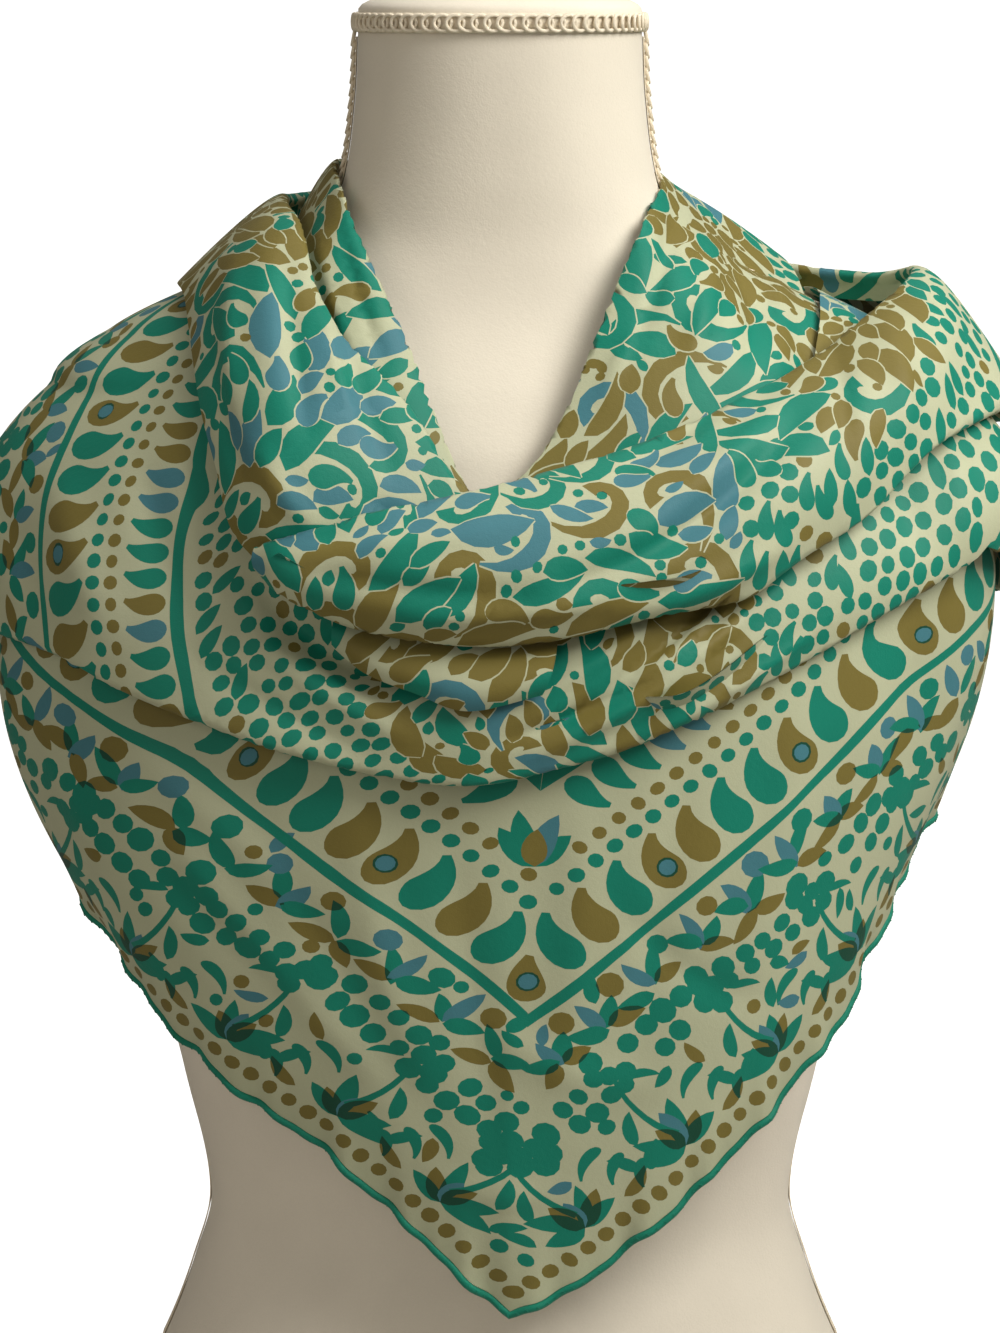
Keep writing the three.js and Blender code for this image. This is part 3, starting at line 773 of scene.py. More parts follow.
for u, v in scattered(7.4, 2.0):
    if 16 < inset_of(u, v) < 86 and draw.random() < 0.85:
        ink = draw.choice((TEAL, TEAL, TEAL, OLIVE, BLUE))
        if draw.random() < 0.5:
            dot(u, v, draw.uniform(2.4, 3.6), TEAL if ink == BLUE else ink, room=0.06)
        else:
            leaf(u, v, draw.uniform(0, 6.28), draw.uniform(9, 13), draw.uniform(4.0, 5.6), 0.6, ink,
                 room=0.1)
print(len(motifs), "motifs on the front half")

# %% [markdown]
# The square's two halves mirror each other across the fold, so the front half's motifs are copied
# over it. The left end of the swag fold, behind the shoulder, is laid flat a little past the hem.
# So that no cloth is left plain there, the border is repeated outside it. The lines go on last.
# %% Mirror the print
BEHIND_FROM, BEHIND_DEEP = 380.0, 90.0
OUTER_LINE, INNER_LINE = 92, 160  # in from the hem
front_half = [m for m in motifs if m[0].mean(axis=0).sum() <= SQUARE]
back_half = [(turned(SQUARE - outline[:, ::-1]), *how) for outline, *how in front_half]
motifs[:] = front_half + back_half
for outline, *how in list(motifs):
    u, v = outline.mean(axis=0)
    if u > BEHIND_FROM and v < BEHIND_DEEP:
        motifs.append((turned(outline * [1, -1]), *how))
square_line(OUTER_LINE, 4.0)
square_line(INNER_LINE, 5.5)
print(len(motifs), "motifs in all")

# %% [markdown]
# Each stretch of cloth that shows is a table of cross-sections, from the knot over the left
# shoulder, across the front and back over the right shoulder. A row gives an upper, a middle and a
# lower point. A smooth curve runs through the rows, and a parabola through the three points.
# %% Stretches of cloth
CLOTH_COLUMNS = ("ux", "uy", "uz", "mx", "my", "mz", "lx", "ly", "lz")
ON_FORM, OVER_ONE, OVER_TWO = 2.9, 6.0, 9.0  # least distance from the form, by layers beneath

NECK_DRAPE = np.array([
    [-13.5, 82, 600, -16, 82, 596, -18, 83, 592],
    [-36, 68, 613, -43, 73, 607, -50, 77, 598],
    [-62, 40, 618, -71, 43, 610, -80, 45, 596],
    [-68, 0, 619, -75, -2, 610, -86, -5, 589],
    [-62, -45, 607, -68, -51, 598, -79, -56, 581],
    [-51, -68, 584, -57, -76, 577, -66, -81, 560],
    [-35, -88, 551, -44, -96, 544, -55, -102, 530],
    [-17, -108, 507, -27, -114, 504, -40, -119, 498],
    [-6, -112, 497, -6, -116, 487, -4, -118, 474],
    [8, -108, 503, 14, -113, 490, 22, -116, 478],
    [24, -97, 524, 38, -106, 508, 50, -108, 492],
    [44, -72, 570, 68, -88, 546, 92, -92, 516],
    [57, -50, 597, 88, -64, 567, 122, -62, 538],
    [67, 2, 613, 92, 10, 589, 126, 0, 563],
    [58, 42, 613, 84, 46, 601, 112, 46, 582],
    [36, 68, 608, 45, 73, 602, 54, 77, 594],
    [13.5, 82, 600, 16, 82, 596, 18, 83, 592],
], float)

LEFT_ROLL = np.array([
    [-15, 94, 602, -15, 98, 598, -17.5, 99, 592],
    [-44, 88, 605, -53, 94, 600, -61, 97, 590],
    [-84, 54, 604, -95, 58, 597, -112, 54, 579],
    [-87, 4, 603, -99, 0, 601, -131, -3, 572],
    [-80, -54, 597, -102, -58, 588, -126, -42, 566],
    [-71, -86, 571, -94, -102, 558, -117, -92, 532],
    [-56, -102, 552, -86, -124, 532, -109, -114, 508],
    [-38, -110, 534, -76, -138, 508, -101, -128, 484],
    [-27, -117, 518, -58, -138, 490, -80, -136, 468],
    [-15, -122, 501, -36, -134, 482, -50, -136, 462],
    [6, -122, 490, -8, -130, 474, -20, -136, 460],
], float)

UPPER_DRAPE = np.array([
    [-93, -138, 481, -94, -140, 477, -93, -140, 473],
    [-77, -144, 487, -81, -151, 476, -82, -147, 464],
    [-47, -143, 495, -52, -159, 474, -56, -151, 453],
    [-29, -139, 498, -30, -161, 474, -29, -154, 448],
    [1, -131, 504, 2, -159, 477, 2, -155, 447],
    [26, -125, 510, 30, -155, 483, 30, -154, 451],
    [52, -117, 517, 56, -149, 490, 57, -149, 457],
    [84, -102, 530, 85, -137, 500, 92, -138, 462],
    [113, -84, 541, 117, -122, 515, 117, -127, 477],
    [144, -56, 560, 149, -96, 536, 143, -110, 491],
    [163, -30, 572, 177, -60, 556, 173, -86, 516],
    [170, -2, 577, 186, -10, 566, 210, -34, 528],
    [156, 30, 572, 180, 36, 554, 212, 22, 514],
    [116, 64, 575, 146, 80, 552, 172, 96, 512],
    [66, 90, 590, 86, 104, 572, 106, 116, 540],
    [15, 94, 602, 15, 98, 598, 17.5, 99, 592],
], float)

MIDDLE_FOLD = np.array([
    [-63, -133, 455, -64, -139, 449, -64, -138, 443],
    [-46, -134, 454, -49, -147, 443, -51, -146, 434],
    [-26, -136, 452, -29, -152, 438, -32, -150, 427],
    [0, -140, 448, -6, -155, 434, -12, -154, 421],
    [22, -141.2, 447, 20, -154, 437, 16, -153, 427],
], float)

LOWER_SWAG = np.array([
    [-20.5, 87, 590, -20.5, 90, 586, -19.5, 93, 582],
    [-50, 82, 592, -67, 100, 564, -84, 114, 520],
    [-88, 46, 592, -134, 86, 538, -162, 100, 456],
    [-106, 6, 578, -190, 34, 514, -213, 44, 428],
    [-110, -34, 562, -200, -28, 510, -216, -30, 434],
    [-100, -84, 534, -156, -92, 488, -180, -88, 434],
    [-90, -102, 506, -130, -112, 466, -150, -113, 424],
    [-82, -112, 486, -104, -124, 450, -117, -129, 414],
    [-54, -122, 464, -66, -137, 434, -77, -142, 403],
    [-4, -126, 458, -6, -147, 428, -8, -150, 393],
    [42, -122, 466, 54, -144, 440, 65, -141, 412],
    [82, -108, 472, 90, -131, 448, 95, -131, 424],
    [104, -98, 488, 114, -119, 464, 124, -118, 438],
    [122, -68, 534, 149, -96, 488, 157, -101, 454],
    [126, -22, 556, 194, -54, 516, 201, -68, 470],
    [132, 16, 566, 200, -6, 514, 216, -8, 450],
    [116, 42, 566, 188, 40, 512, 211, 46, 438],
    [92, 54, 580, 134, 84, 534, 162, 100, 462],
    [50, 82, 592, 67, 100, 565, 84, 114, 522],
    [20.5, 87, 590, 20.5, 90, 586, 19.5, 93, 582],
], float)

FRONT_POINT = np.array([
    [-18.5, 86, 580, -17, 88, 576, -13.5, 89, 571],
    [-74, 100, 540, -90, 106, 510, -100, 108, 478],
    [-150, 84, 474, -160, 88, 438, -160, 86, 400],
    [-196, 40, 450, -203, 36, 405, -190, 36, 364],
    [-200, -30, 452, -205, -30, 398, -184, -14, 342],
    [-176, -76, 446, -190, -64, 384, -174, -48, 328],
    [-146, -98, 440, -156, -100, 358, -148, -78, 298],
    [-120, -110, 434, -131, -115, 350, -122, -94, 270],
    [-94, -121, 428, -102, -124, 344, -94, -107, 252],
    [-64, -132, 422, -68, -131, 330, -64, -114, 232],
    [-30, -136, 414, -33, -133, 308, -31, -120, 202],
    [2, -137, 412, 3, -134, 290, 4, -124, 170],
    [34, -136, 420, 36, -133, 303, 37, -122, 188],
    [68, -131, 432, 72, -129, 326, 74, -118, 218],
    [98, -121, 444, 106, -119, 350, 109, -106, 252],
    [124, -108, 456, 136, -105, 368, 137, -88, 283],
    [150, -92, 468, 160, -88, 388, 154, -68, 314],
    [179, -70, 478, 187, -60, 410, 171, -42, 342],
    [201, -26, 480, 201, -26, 418, 184, -12, 362],
    [197, 40, 462, 200, 38, 420, 186, 38, 378],
    [150, 84, 484, 158, 88, 446, 158, 88, 408],
    [74, 100, 544, 90, 106, 514, 100, 108, 482],
    [18.5, 86, 580, 17, 88, 576, 13.5, 89, 571],
], float)
TIP_ROW = 11


def drape(table, along, across, clearance, corner=NO_CORNER):
    """A grid of points on a stretch of cloth, resting clear of the form."""
    rows = row_at(table, np.linspace(0, len(table) - 1, along + 1), corner)
    t = np.linspace(0, 1, across + 1)[None, :, None]
    upper, middle, lower = (rows[:, None, k : k + 3] for k in (0, 3, 6))
    grid = upper * (1 - t) * (1 - 2 * t) + middle * 4 * t * (1 - t) + lower * t * (2 * t - 1)
    return rest_on_form(grid, clearance)


def grid_normals(grid):
    """Outward normals of a grid whose rows run along and whose columns run down."""
    along = np.gradient(grid, axis=0)
    across = np.gradient(grid, axis=1)
    return unit(np.cross(across, along))


def run_along(path):
    """How far along a path each of its points lies."""
    return np.concatenate([[0], np.cumsum(np.linalg.norm(np.diff(path, axis=0), axis=1))])


ROLL_STEPS = 8
TUCK_STEPS = 6
ROLL_AT_END = 0.35


def roll_under(grid, radius, tuck, way=None, fade=0.05):
    """Rolls the lower edge under and runs it on as a hidden tuck, back up or in a given way."""
    edge = grid[:, -1]
    down = unit(edge - grid[:, -3])
    along = np.gradient(edge, axis=0)
    out = unit(np.cross(down, along))
    share = np.linspace(0, 1, len(grid))
    ends = np.clip(np.minimum(share, 1 - share) / fade, 0, 1)[:, None]
    r = radius * (ROLL_AT_END + (1 - ROLL_AT_END) * ends)
    centre = edge - out * r
    extra = []
    for k in range(1, ROLL_STEPS + 1):
        turn = math.pi * k / ROLL_STEPS
        extra.append(centre + out * r * math.cos(turn) + down * r * math.sin(turn))
    for k in range(1, TUCK_STEPS + 1):
        run = (-down if way is None else way) * (0.2 + tuck * ends) * k / TUCK_STEPS
        extra.append(extra[ROLL_STEPS - 1] + run)
    return np.concatenate([grid, np.stack(extra, axis=1)], axis=1)


def roll_back(grid, radius, tuck):
    """Rolls the upper edge back and lets it hang behind."""
    return roll_under(grid[::-1, ::-1], radius, tuck, np.array([0, 0, -1.0]))[::-1, ::-1]


print("stretches", [len(t) for t in (NECK_DRAPE, LEFT_ROLL, UPPER_DRAPE, LOWER_SWAG, FRONT_POINT)])

# %% [markdown]
# Creases are placed one by one, as a stylist would: each is a bent line seen from the front or from
# behind, with a width and a depth. A trough is negative and a ridge positive. They fade out at both
# ends and are uneven in length, depth and spacing.
# %% Creases
CREASE_COLUMNS = ("x0", "z0", "x1", "z1", "x2", "z2", "width", "depth")
CREASE_STEPS = 14


def crease(grid, table, side):
    """Raises or sinks the grid along its own normals, at the front (-1) or the back (1)."""
    if not table:
        return grid
    normals = grid_normals(grid)
    lift = np.zeros(grid.shape[:2])
    there = np.sign(grid[:, :, 1]) == side
    seen = grid[:, :, [0, 2]]
    for row in table:
        ends, width, depth = np.array(row[:6], float).reshape(3, 2), row[6], row[7]
        t = np.linspace(0, 1, CREASE_STEPS + 1)[:, None]
        line = ends[0] * (1 - t) ** 2 + 2 * ends[1] * t * (1 - t) + ends[2] * t**2
        strongest = np.zeros(grid.shape[:2])
        for k in range(CREASE_STEPS):
            a, step = line[k], line[k + 1] - line[k]
            f = np.clip((seen - a) @ step / (step @ step), 0, 1)
            away = np.sum((seen - a - f[:, :, None] * step) ** 2, axis=2)
            place = (k + f) / CREASE_STEPS
            fade = np.sin(np.pi * place) ** 0.8
            strongest = np.maximum(strongest, fade * np.exp(-away / width**2))
        lift += depth * strongest
    return grid + normals * (lift * there)[:, :, None]


print("each crease is followed in", CREASE_STEPS, "steps")

# %% [markdown]
# A print must not stretch where the cloth only bends. So each draped grid is laid flat again: every
# small triangle keeps its own shape and may only turn, and a few points are pinned where the print
# is known to lie. Repeating "turn each triangle, then fit all points" settles in a few rounds.
# %% Lay a stretch flat
ROOT2 = math.sqrt(2)


def to_uv(hd):
    """From across and up the square's diagonal to along its two hems."""
    h, d = hd[..., 0], hd[..., 1]
    return np.stack([(d - h) / ROOT2, (d + h) / ROOT2], axis=-1)


def to_hd(u, v):
    """From along the two hems to across and up the diagonal."""
    return ((v - u) / ROOT2, (u + v) / ROOT2)


TRIANGLE_SIDES = ((0, 1), (1, 2), (2, 0))


def triangles_of(grid):
    """Two triangles for each cell of a grid, and the number of each of its points."""
    rows, cols = grid.shape[:2]
    number = np.arange(rows * cols).reshape(rows, cols)
    a, b = number[:-1, :-1].ravel(), number[:-1, 1:].ravel()
    c, d = number[1:, 1:].ravel(), number[1:, :-1].ravel()
    return np.concatenate([np.stack([a, b, c], 1), np.stack([a, c, d], 1)]), number


def own_shapes(grid, tris):
    """Each triangle's own shape, laid in a plane with its first side along x."""
    p = grid.reshape(-1, 3)
    first, second = p[tris[:, 1]] - p[tris[:, 0]], p[tris[:, 2]] - p[tris[:, 0]]
    length = np.maximum(np.linalg.norm(first, axis=1), 1e-6)
    local = np.zeros((len(tris), 3, 2))
    local[:, 1, 0] = length
    local[:, 2, 0] = np.sum(first * second, axis=1) / length
    local[:, 2, 1] = np.linalg.norm(np.cross(first, second), axis=1) / length
    return local


def first_guess(grid, keys, targets):
    """The grid unrolled along its middle and down its columns, then moved onto its pins."""
    rows, cols = grid.shape[:2]
    run = run_along(grid[:, cols // 2])
    drops = np.cumsum(np.linalg.norm(np.diff(grid, axis=1), axis=2), axis=1)
    fall = np.concatenate([np.zeros((rows, 1)), drops], axis=1)
    flat = np.stack([np.repeat(run[:, None], cols, 1), -fall], axis=2).reshape(-1, 2)
    if len(keys) == 1:
        return flat - flat[keys[0]] + targets[0]
    have = flat[keys]
    have_middle, target_middle = have.mean(0), targets.mean(0)
    a, b = have - have_middle, targets - target_middle
    turn = math.atan2(float(np.sum(a[:, 0] * b[:, 1] - a[:, 1] * b[:, 0])), float(np.sum(a * b)))
    spin = np.array([[math.cos(turn), math.sin(turn)], [-math.sin(turn), math.cos(turn)]])
    return (flat - have_middle) @ spin + target_middle


def lay_flat(grid, pins, rounds=60):
    """Flat (h, d) of each grid point. pins maps (row, column) to (h, d, weight)."""
    tris, number = triangles_of(grid)
    local = own_shapes(grid, tris)
    size = number.size
    system = np.zeros((size, size))
    for i, j in TRIANGLE_SIDES:
        x, y = tris[:, i], tris[:, j]
        joins = np.bincount(np.concatenate([x * size + y, y * size + x]), minlength=size * size)
        system -= joins.reshape(size, size)
        system[np.diag_indices(size)] += np.bincount(np.concatenate([x, y]), minlength=size)
    pulled = np.zeros((size, 2))
    for (i, j), (h, d, weight) in pins.items():
        k = number[i, j]
        system[k, k] += weight
        pulled[k] += weight * np.array([h, d])
    inverse = np.linalg.inv(system)
    flat = first_guess(grid, [number[k] for k in pins], np.array([v[:2] for v in pins.values()]))
    for _ in range(rounds):
        shape = flat[tris]
        along, across = np.zeros(len(tris)), np.zeros(len(tris))
        for i, j in TRIANGLE_SIDES:
            own = local[:, j] - local[:, i]
            now = shape[:, j] - shape[:, i]
            along += np.sum(own * now, axis=1)
            across += own[:, 0] * now[:, 1] - own[:, 1] * now[:, 0]
        norm = np.maximum(np.hypot(along, across), 1e-9)
        c, s = along / norm, across / norm
        right = pulled.copy()
        for i, j in TRIANGLE_SIDES:
            own = local[:, j] - local[:, i]
            for axis, side in enumerate((c * own[:, 0] - s * own[:, 1], s * own[:, 0] + c * own[:, 1])):
                right[:, axis] += np.bincount(tris[:, j], side, size)
                right[:, axis] -= np.bincount(tris[:, i], side, size)
        flat = inverse @ right
    return flat.reshape(*grid.shape[:2], 2), tris


print("a stretch is laid flat by its triangles'", len(TRIANGLE_SIDES), "sides")

# %% [markdown]
# Now the print goes onto the cloth. The motifs' outlines, the stretch's own outline and an even
# scatter of points are joined into one net of triangles on the flat cloth, in which every motif has
# a crisp edge. Each corner of the net is looked up on the laid-flat grid and carried to the same
# spot of the draped one. A second skin just behind it and a rim make a thin shell.
# %% Print and cut a stretch
SILK_THICK = 0.45
NET_PITCH = 3.6
OUTLINE_PITCH = 2.6


class FlatFinder:
    """Finds where a flat point lies on a grid, as a triangle and its weights."""

    def __init__(self, flat, tris):
        self.flat = flat.reshape(-1, 2)
        self.tris = tris
        corners = [(x, y, 0.0) for x, y in self.flat.tolist()]
        self.tree = BVHTree.FromPolygons(corners, tris.tolist(), all_triangles=True)

    def under(self, x, y):
        """The triangle that holds a flat point, or None."""
        return self.tree.ray_cast(Vector((x, y, 1.0)), Vector((0, 0, -1)), 2.0)[2]

    def inside(self, x, y):
        """Whether a flat point lies on the grid."""
        return self.under(x, y) is not None

    def find(self, points, values):
        """values at points, in between those of the grid's corners."""
        index = np.zeros(len(points), int)
        for k, (x, y) in enumerate(points.tolist()):
            hit = self.under(x, y)
            index[k] = self.tree.find_nearest(Vector((x, y, 0.0)))[2] if hit is None else hit
        t = self.tris[index]
        a, b, c = (self.flat[t[:, k]] for k in range(3))
        ab, ac, ap = b - a, c - a, points - a
        whole = ab[:, 0] * ac[:, 1] - ab[:, 1] * ac[:, 0]
        whole = np.where(np.abs(whole) < 1e-9, 1e-9, whole)
        wb = (ap[:, 0] * ac[:, 1] - ap[:, 1] * ac[:, 0]) / whole
        wc = (ab[:, 0] * ap[:, 1] - ab[:, 1] * ap[:, 0]) / whole
        weights = np.clip(np.stack([1 - wb - wc, wb, wc], axis=1), 0, 1)
        weights /= weights.sum(axis=1, keepdims=True)
        return np.einsum("nk,nkd->nd", weights, values.reshape(len(self.flat), -1)[t])


def densify(path, pitch):
    """A closed path with extra points, so that no stretch of it is longer than the pitch."""
    made = []
    for a, b in zip(path, np.roll(path, -1, axis=0)):
        count = max(1, int(math.ceil(np.linalg.norm(b - a) / pitch)))
        made += [a + (b - a) * k / count for k in range(count)]
    return np.array(made)


def bilinear(grid, places):
    """The grid at fractional rows and columns."""
    rows, cols = grid.shape[:2]
    r = np.clip(places[:, 0], 0, rows - 1.000001)
    c = np.clip(places[:, 1], 0, cols - 1.000001)
    i, j = r.astype(int), c.astype(int)
    f, g = (r - i)[:, None], (c - j)[:, None]
    low = grid[i, j] * (1 - g) + grid[i, j + 1] * g
    high = grid[i + 1, j] * (1 - g) + grid[i + 1, j + 1] * g
    return low * (1 - f) + high * f


cut_sizes = {}  # mean width and length, in metres, of each stretch on the flat cloth


def staggered_net(finder, low, high):
    """Even points inside a flat stretch."""
    steps = np.ceil((high - low) / NET_PITCH).astype(int)
    for i in range(steps[0] + 1):
        for j in range(int(steps[1] / NET_ROWS) + 1):
            x = low[0] + (i + 0.5 * (j % 2)) * NET_PITCH
            y = low[1] + j * NET_PITCH * NET_ROWS
            if finder.inside(x, y):
                yield x, y


def motifs_on(finder, low, high):
    """The motifs that reach onto a flat stretch."""
    for polygon, ink, cover in motifs:
        if (polygon.max(0) < low).any() or (polygon.min(0) > high).any():
            continue
        if any(finder.inside(x, y) for x, y in polygon[::3].tolist()):
            yield polygon, ink, cover


def ink_of(prints):
    """The ink that shows where motifs lie on one another: teal and olive mix to a deep green."""
    if not prints:
        return CREAM
    ink, cover = prints[-1]
    beneath = {i for i, _ in prints[:-1]}
    mixed = (ink == TEAL and OLIVE in beneath) or (ink == OLIVE and TEAL in beneath)
    return DEEP if mixed and not cover else ink


def printed_cloth(name, fine, coarse_steps, pins):
    """Lays a fine grid flat, prints it, and makes it a thin closed shell of silk."""
    rows, cols = (
        np.unique(np.linspace(0, size - 1, steps).astype(int))
        for size, steps in zip(fine.shape, coarse_steps)
    )
    coarse = fine[np.ix_(rows, cols)]
    flat_hd, tris = lay_flat(coarse, pins(coarse))
    flat = to_uv(flat_hd)
    finder = FlatFinder(flat, tris)

    outline = np.concatenate([flat[:, 0], flat[-1, 1:], flat[-2::-1, -1], flat[0, -2:0:-1]])
    outline = densify(outline, OUTLINE_PITCH)
    edges = [(k, (k + 1) % len(outline)) for k in range(len(outline))]
    low, high = flat.reshape(-1, 2).min(0), flat.reshape(-1, 2).max(0)
    points = outline.tolist() + list(staggered_net(finder, low, high))
    shapes, prints = [], []
    for polygon, ink, cover in motifs_on(finder, low, high):
        shapes.append(list(range(len(points), len(points) + len(polygon))))
        prints.append((ink, cover))
        points += polygon.tolist()
    net = delaunay_2d_cdt([Vector(p) for p in points], edges, shapes, 0, 1e-4, True)
    net_points = np.array([tuple(p) for p in net[0]])
    faces = np.array(list(net[2]))
    middle = net_points[faces].mean(axis=1)
    ab, ac = (net_points[faces[:, k]] - net_points[faces[:, 0]] for k in (1, 2))
    area = ab[:, 0] * ac[:, 1] - ab[:, 1] * ac[:, 0]
    keep = [
        k for k, (x, y) in enumerate(middle.tolist())
        if abs(area[k]) > 1e-6 and finder.inside(x, y)
    ]
    inked = np.array([ink_of([prints[f] for f in sorted(net[5][k])]) for k in keep])
    faces = faces[keep]
    flip = area[keep] < 0
    faces[flip] = faces[flip][:, ::-1]
    used, faces = np.unique(faces, return_inverse=True)
    spots = net_points[used]
    places = np.stack(np.meshgrid(rows, cols, indexing="ij"), axis=2).astype(float)
    where = finder.find(spots, places)
    body = bilinear(fine, where)
    normal = unit(bilinear(grid_normals(fine), where))
    run = np.linalg.norm(np.diff(flat[:, flat.shape[1] // 2], axis=0), axis=1).sum()
    cut_sizes[name] = (0.5 * np.abs(area[keep]).sum() / run * MM, run * MM)
    return shell(name, body, normal, faces.reshape(-1, 3), inked, spots)


def shell(name, body, normal, faces, inked, spots):
    """Two skins and a rim, with the ink as a colour attribute and the flat cloth as its UV map."""
    count = len(body)
    outer, inner = body + normal * SILK_THICK / 2, body - normal * SILK_THICK / 2
    facing = np.cross(body[faces[:, 1]] - body[faces[:, 0]], body[faces[:, 2]] - body[faces[:, 0]])
    if np.sum(facing * normal[faces[:, 0]]) < 0:
        faces = faces[:, ::-1]
    pairs = np.concatenate([faces[:, [0, 1]], faces[:, [1, 2]], faces[:, [2, 0]]])
    owner = np.tile(np.arange(len(faces)), 3)
    key = pairs[:, 0].astype(np.int64) * count + pairs[:, 1]
    back = pairs[:, 1].astype(np.int64) * count + pairs[:, 0]
    open_edge = ~np.isin(key, back)
    a, b, who = pairs[open_edge, 0], pairs[open_edge, 1], owner[open_edge]
    rim = np.concatenate([
        np.stack([a, a + count, b + count], 1),
        np.stack([a, b + count, b], 1),
    ])
    all_faces = np.concatenate([faces, faces[:, ::-1] + count, rim])
    ink = np.concatenate([inked, inked, inked[who], inked[who]])
    points = np.concatenate([outer, inner]) * MM
    mesh = bpy.data.meshes.new(name)
    mesh.from_pydata(points.tolist(), [], all_faces.tolist())
    mesh.shade_smooth()
    colours = np.array(list(INK_COLOURS.values()))[ink]
    attribute = mesh.attributes.new("ink", "FLOAT_COLOR", "CORNER")
    attribute.data.foreach_set("color", np.repeat(colours, 3, axis=0).ravel().astype(np.float32))
    uv = mesh.uv_layers.new(name="flat_cloth")
    corners = np.tile(spots / SQUARE, (2, 1))[all_faces.ravel()]
    uv.data.foreach_set("uv", corners.ravel().astype(np.float32))
    mesh.normals_split_custom_set_from_vertices(np.concatenate([normal, -normal]).tolist())
    mesh.materials.append(silk)
    return new_object(name, mesh)


silk, shader = new_material("silk_print", roughness=0.56, sheen_weight=0.03, sheen_roughness=0.45,
                            specular_ior_level=0.24)
ink_node = node(silk.node_tree, "ShaderNodeAttribute", attribute_name="ink")
weave_into(silk, shader, ink_node.outputs["Color"], 0.30, thread_scale=2000.0,
           crinkle_scale=520.0, crinkle=0.6, tone_variation=0.10)
print("silk ready")

# %% [markdown]
# The five long stretches, the short middle fold and their pins. The front point's lower edge is the
# hem itself, so all of it is pinned. The others are pinned where the border's lines cross them.
# %% Shape the stretches
FINE_ALONG, FINE_ACROSS = 440, 64
TROUGH_ROOM = 0.6  # how much nearer the form a trough may come than the smooth cloth


def nearest_pin(coarse, x, z, u, v, weight=40.0, front=True):
    """The grid's point nearest to a place seen from the front, pinned to the print."""
    away = (coarse[:, :, 0] - x) ** 2 + (coarse[:, :, 2] - z) ** 2
    if front:
        away = away + np.where(coarse[:, :, 1] > 0, 1e9, 0)
    spot = np.unravel_index(np.argmin(away), away.shape)
    return (int(spot[0]), int(spot[1])), (*to_hd(u, v), weight)


def pin_places(table):
    """A function that pins the places of a table: x, z, u, v and, if it isn't 40, the weight."""
    return lambda coarse: dict(nearest_pin(coarse, *row) for row in table)


LINE_PINS = [(-112, 398, 272, 92, 1.5), (150, 435, 92, 296, 1.5)]


def pin_hem(coarse):
    """The lower edge is the hem: it leaves the tip along v = 0 on the left, u = 0 on the right."""
    edge = coarse[:, -1]
    run = run_along(edge)
    tip = int(np.argmin(edge[:, 2]))
    run = run - run[tip]
    pins = {}
    for i, g in enumerate(run):
        u, v = (-g, 0.0) if g < 0 else (0.0, g)
        pins[(i, coarse.shape[1] - 1)] = (*to_hd(u, v), 12.0)
    pins.update(pin_places(LINE_PINS)(coarse))
    return pins


FRONT_CREASES = [
    (-170, 420, -120, 380, -60, 330, 9, 2.0),
    (-150, 360, -110, 330, -70, 290, 8, -1.6),
    (-60, 400, -52, 330, -30, 262, 9, 1.8),
    (-22, 380, -8, 300, -2, 230, 8, -1.5),
    (30, 392, 34, 320, 22, 250, 9, 1.7),
    (72, 410, 66, 340, 50, 270, 8, -1.6),
    (118, 430, 112, 360, 92, 292, 9, 2.0),
    (168, 440, 160, 390, 140, 320, 8, -1.6),
    (-134, 372, -96, 318, -44, 262, 7, 1.8),
    (-104, 390, -66, 320, -22, 240, 8, -1.6),
    (-10, 300, 20, 262, 66, 268, 8, 1.5),
    (40, 350, 70, 300, 112, 296, 7, -1.5),
    (-30, 230, 0, 214, 28, 224, 6, 1.3),
    (190, 430, 184, 400, 168, 352, 6, 1.4),
    (-186, 400, -170, 372, -150, 330, 6, 1.3),
]
SWAG_CREASES = [
    (8, 400, 62, 426, 116, 470, 3.6, 3.6),
    (14, 410, 66, 442, 112, 486, 3.0, -3.0),
    (4, 419, 52, 446, 102, 480, 2.8, 2.6),
    (-4, 407, 40, 420, 92, 446, 3.2, -3.0),
    (22, 399, 74, 412, 130, 452, 3.0, 2.4),
    (30, 420, 84, 448, 128, 500, 2.6, 1.8),
    (-100, 470, -70, 440, -20, 424, 6.0, -4.5),
    (-96, 446, -70, 424, -30, 408, 5.0, 3.4),
    (-88, 452, -66, 438, -40, 430, 7.0, -6.0),
    (-124, 440, -90, 418, -44, 400, 5.0, -2.6),
    (-176, 500, -168, 470, -150, 440, 10, 3.2),
    (-140, 512, -134, 480, -118, 440, 8, -3.0),
    (-196, 486, -190, 462, -176, 432, 7, -2.2),
    (150, 520, 158, 490, 168, 470, 8, -2.6),
    (176, 520, 182, 496, 186, 470, 6, 2.2),
]
UPPER_CREASES = [
    (20, 470, 70, 478, 118, 530, 6.0, -5.5),
    (-78, 476, -40, 466, 14, 466, 6.0, -3.4),
    (-62, 486, -20, 484, 30, 496, 5.0, 2.4),
    (-84, 484, -52, 490, -10, 492, 4.0, -1.8),
    (-40, 458, 6, 456, 52, 466, 4.0, 2.0),
    (40, 458, 76, 462, 112, 484, 5.0, 3.6),
    (60, 500, 90, 510, 124, 545, 5.0, 2.6),
    (40, 506, 74, 520, 104, 548, 3.6, -1.8),
    (152, 560, 160, 540, 156, 510, 6.0, 2.4),
    (130, 556, 136, 530, 130, 500, 5.0, -2.0),
]
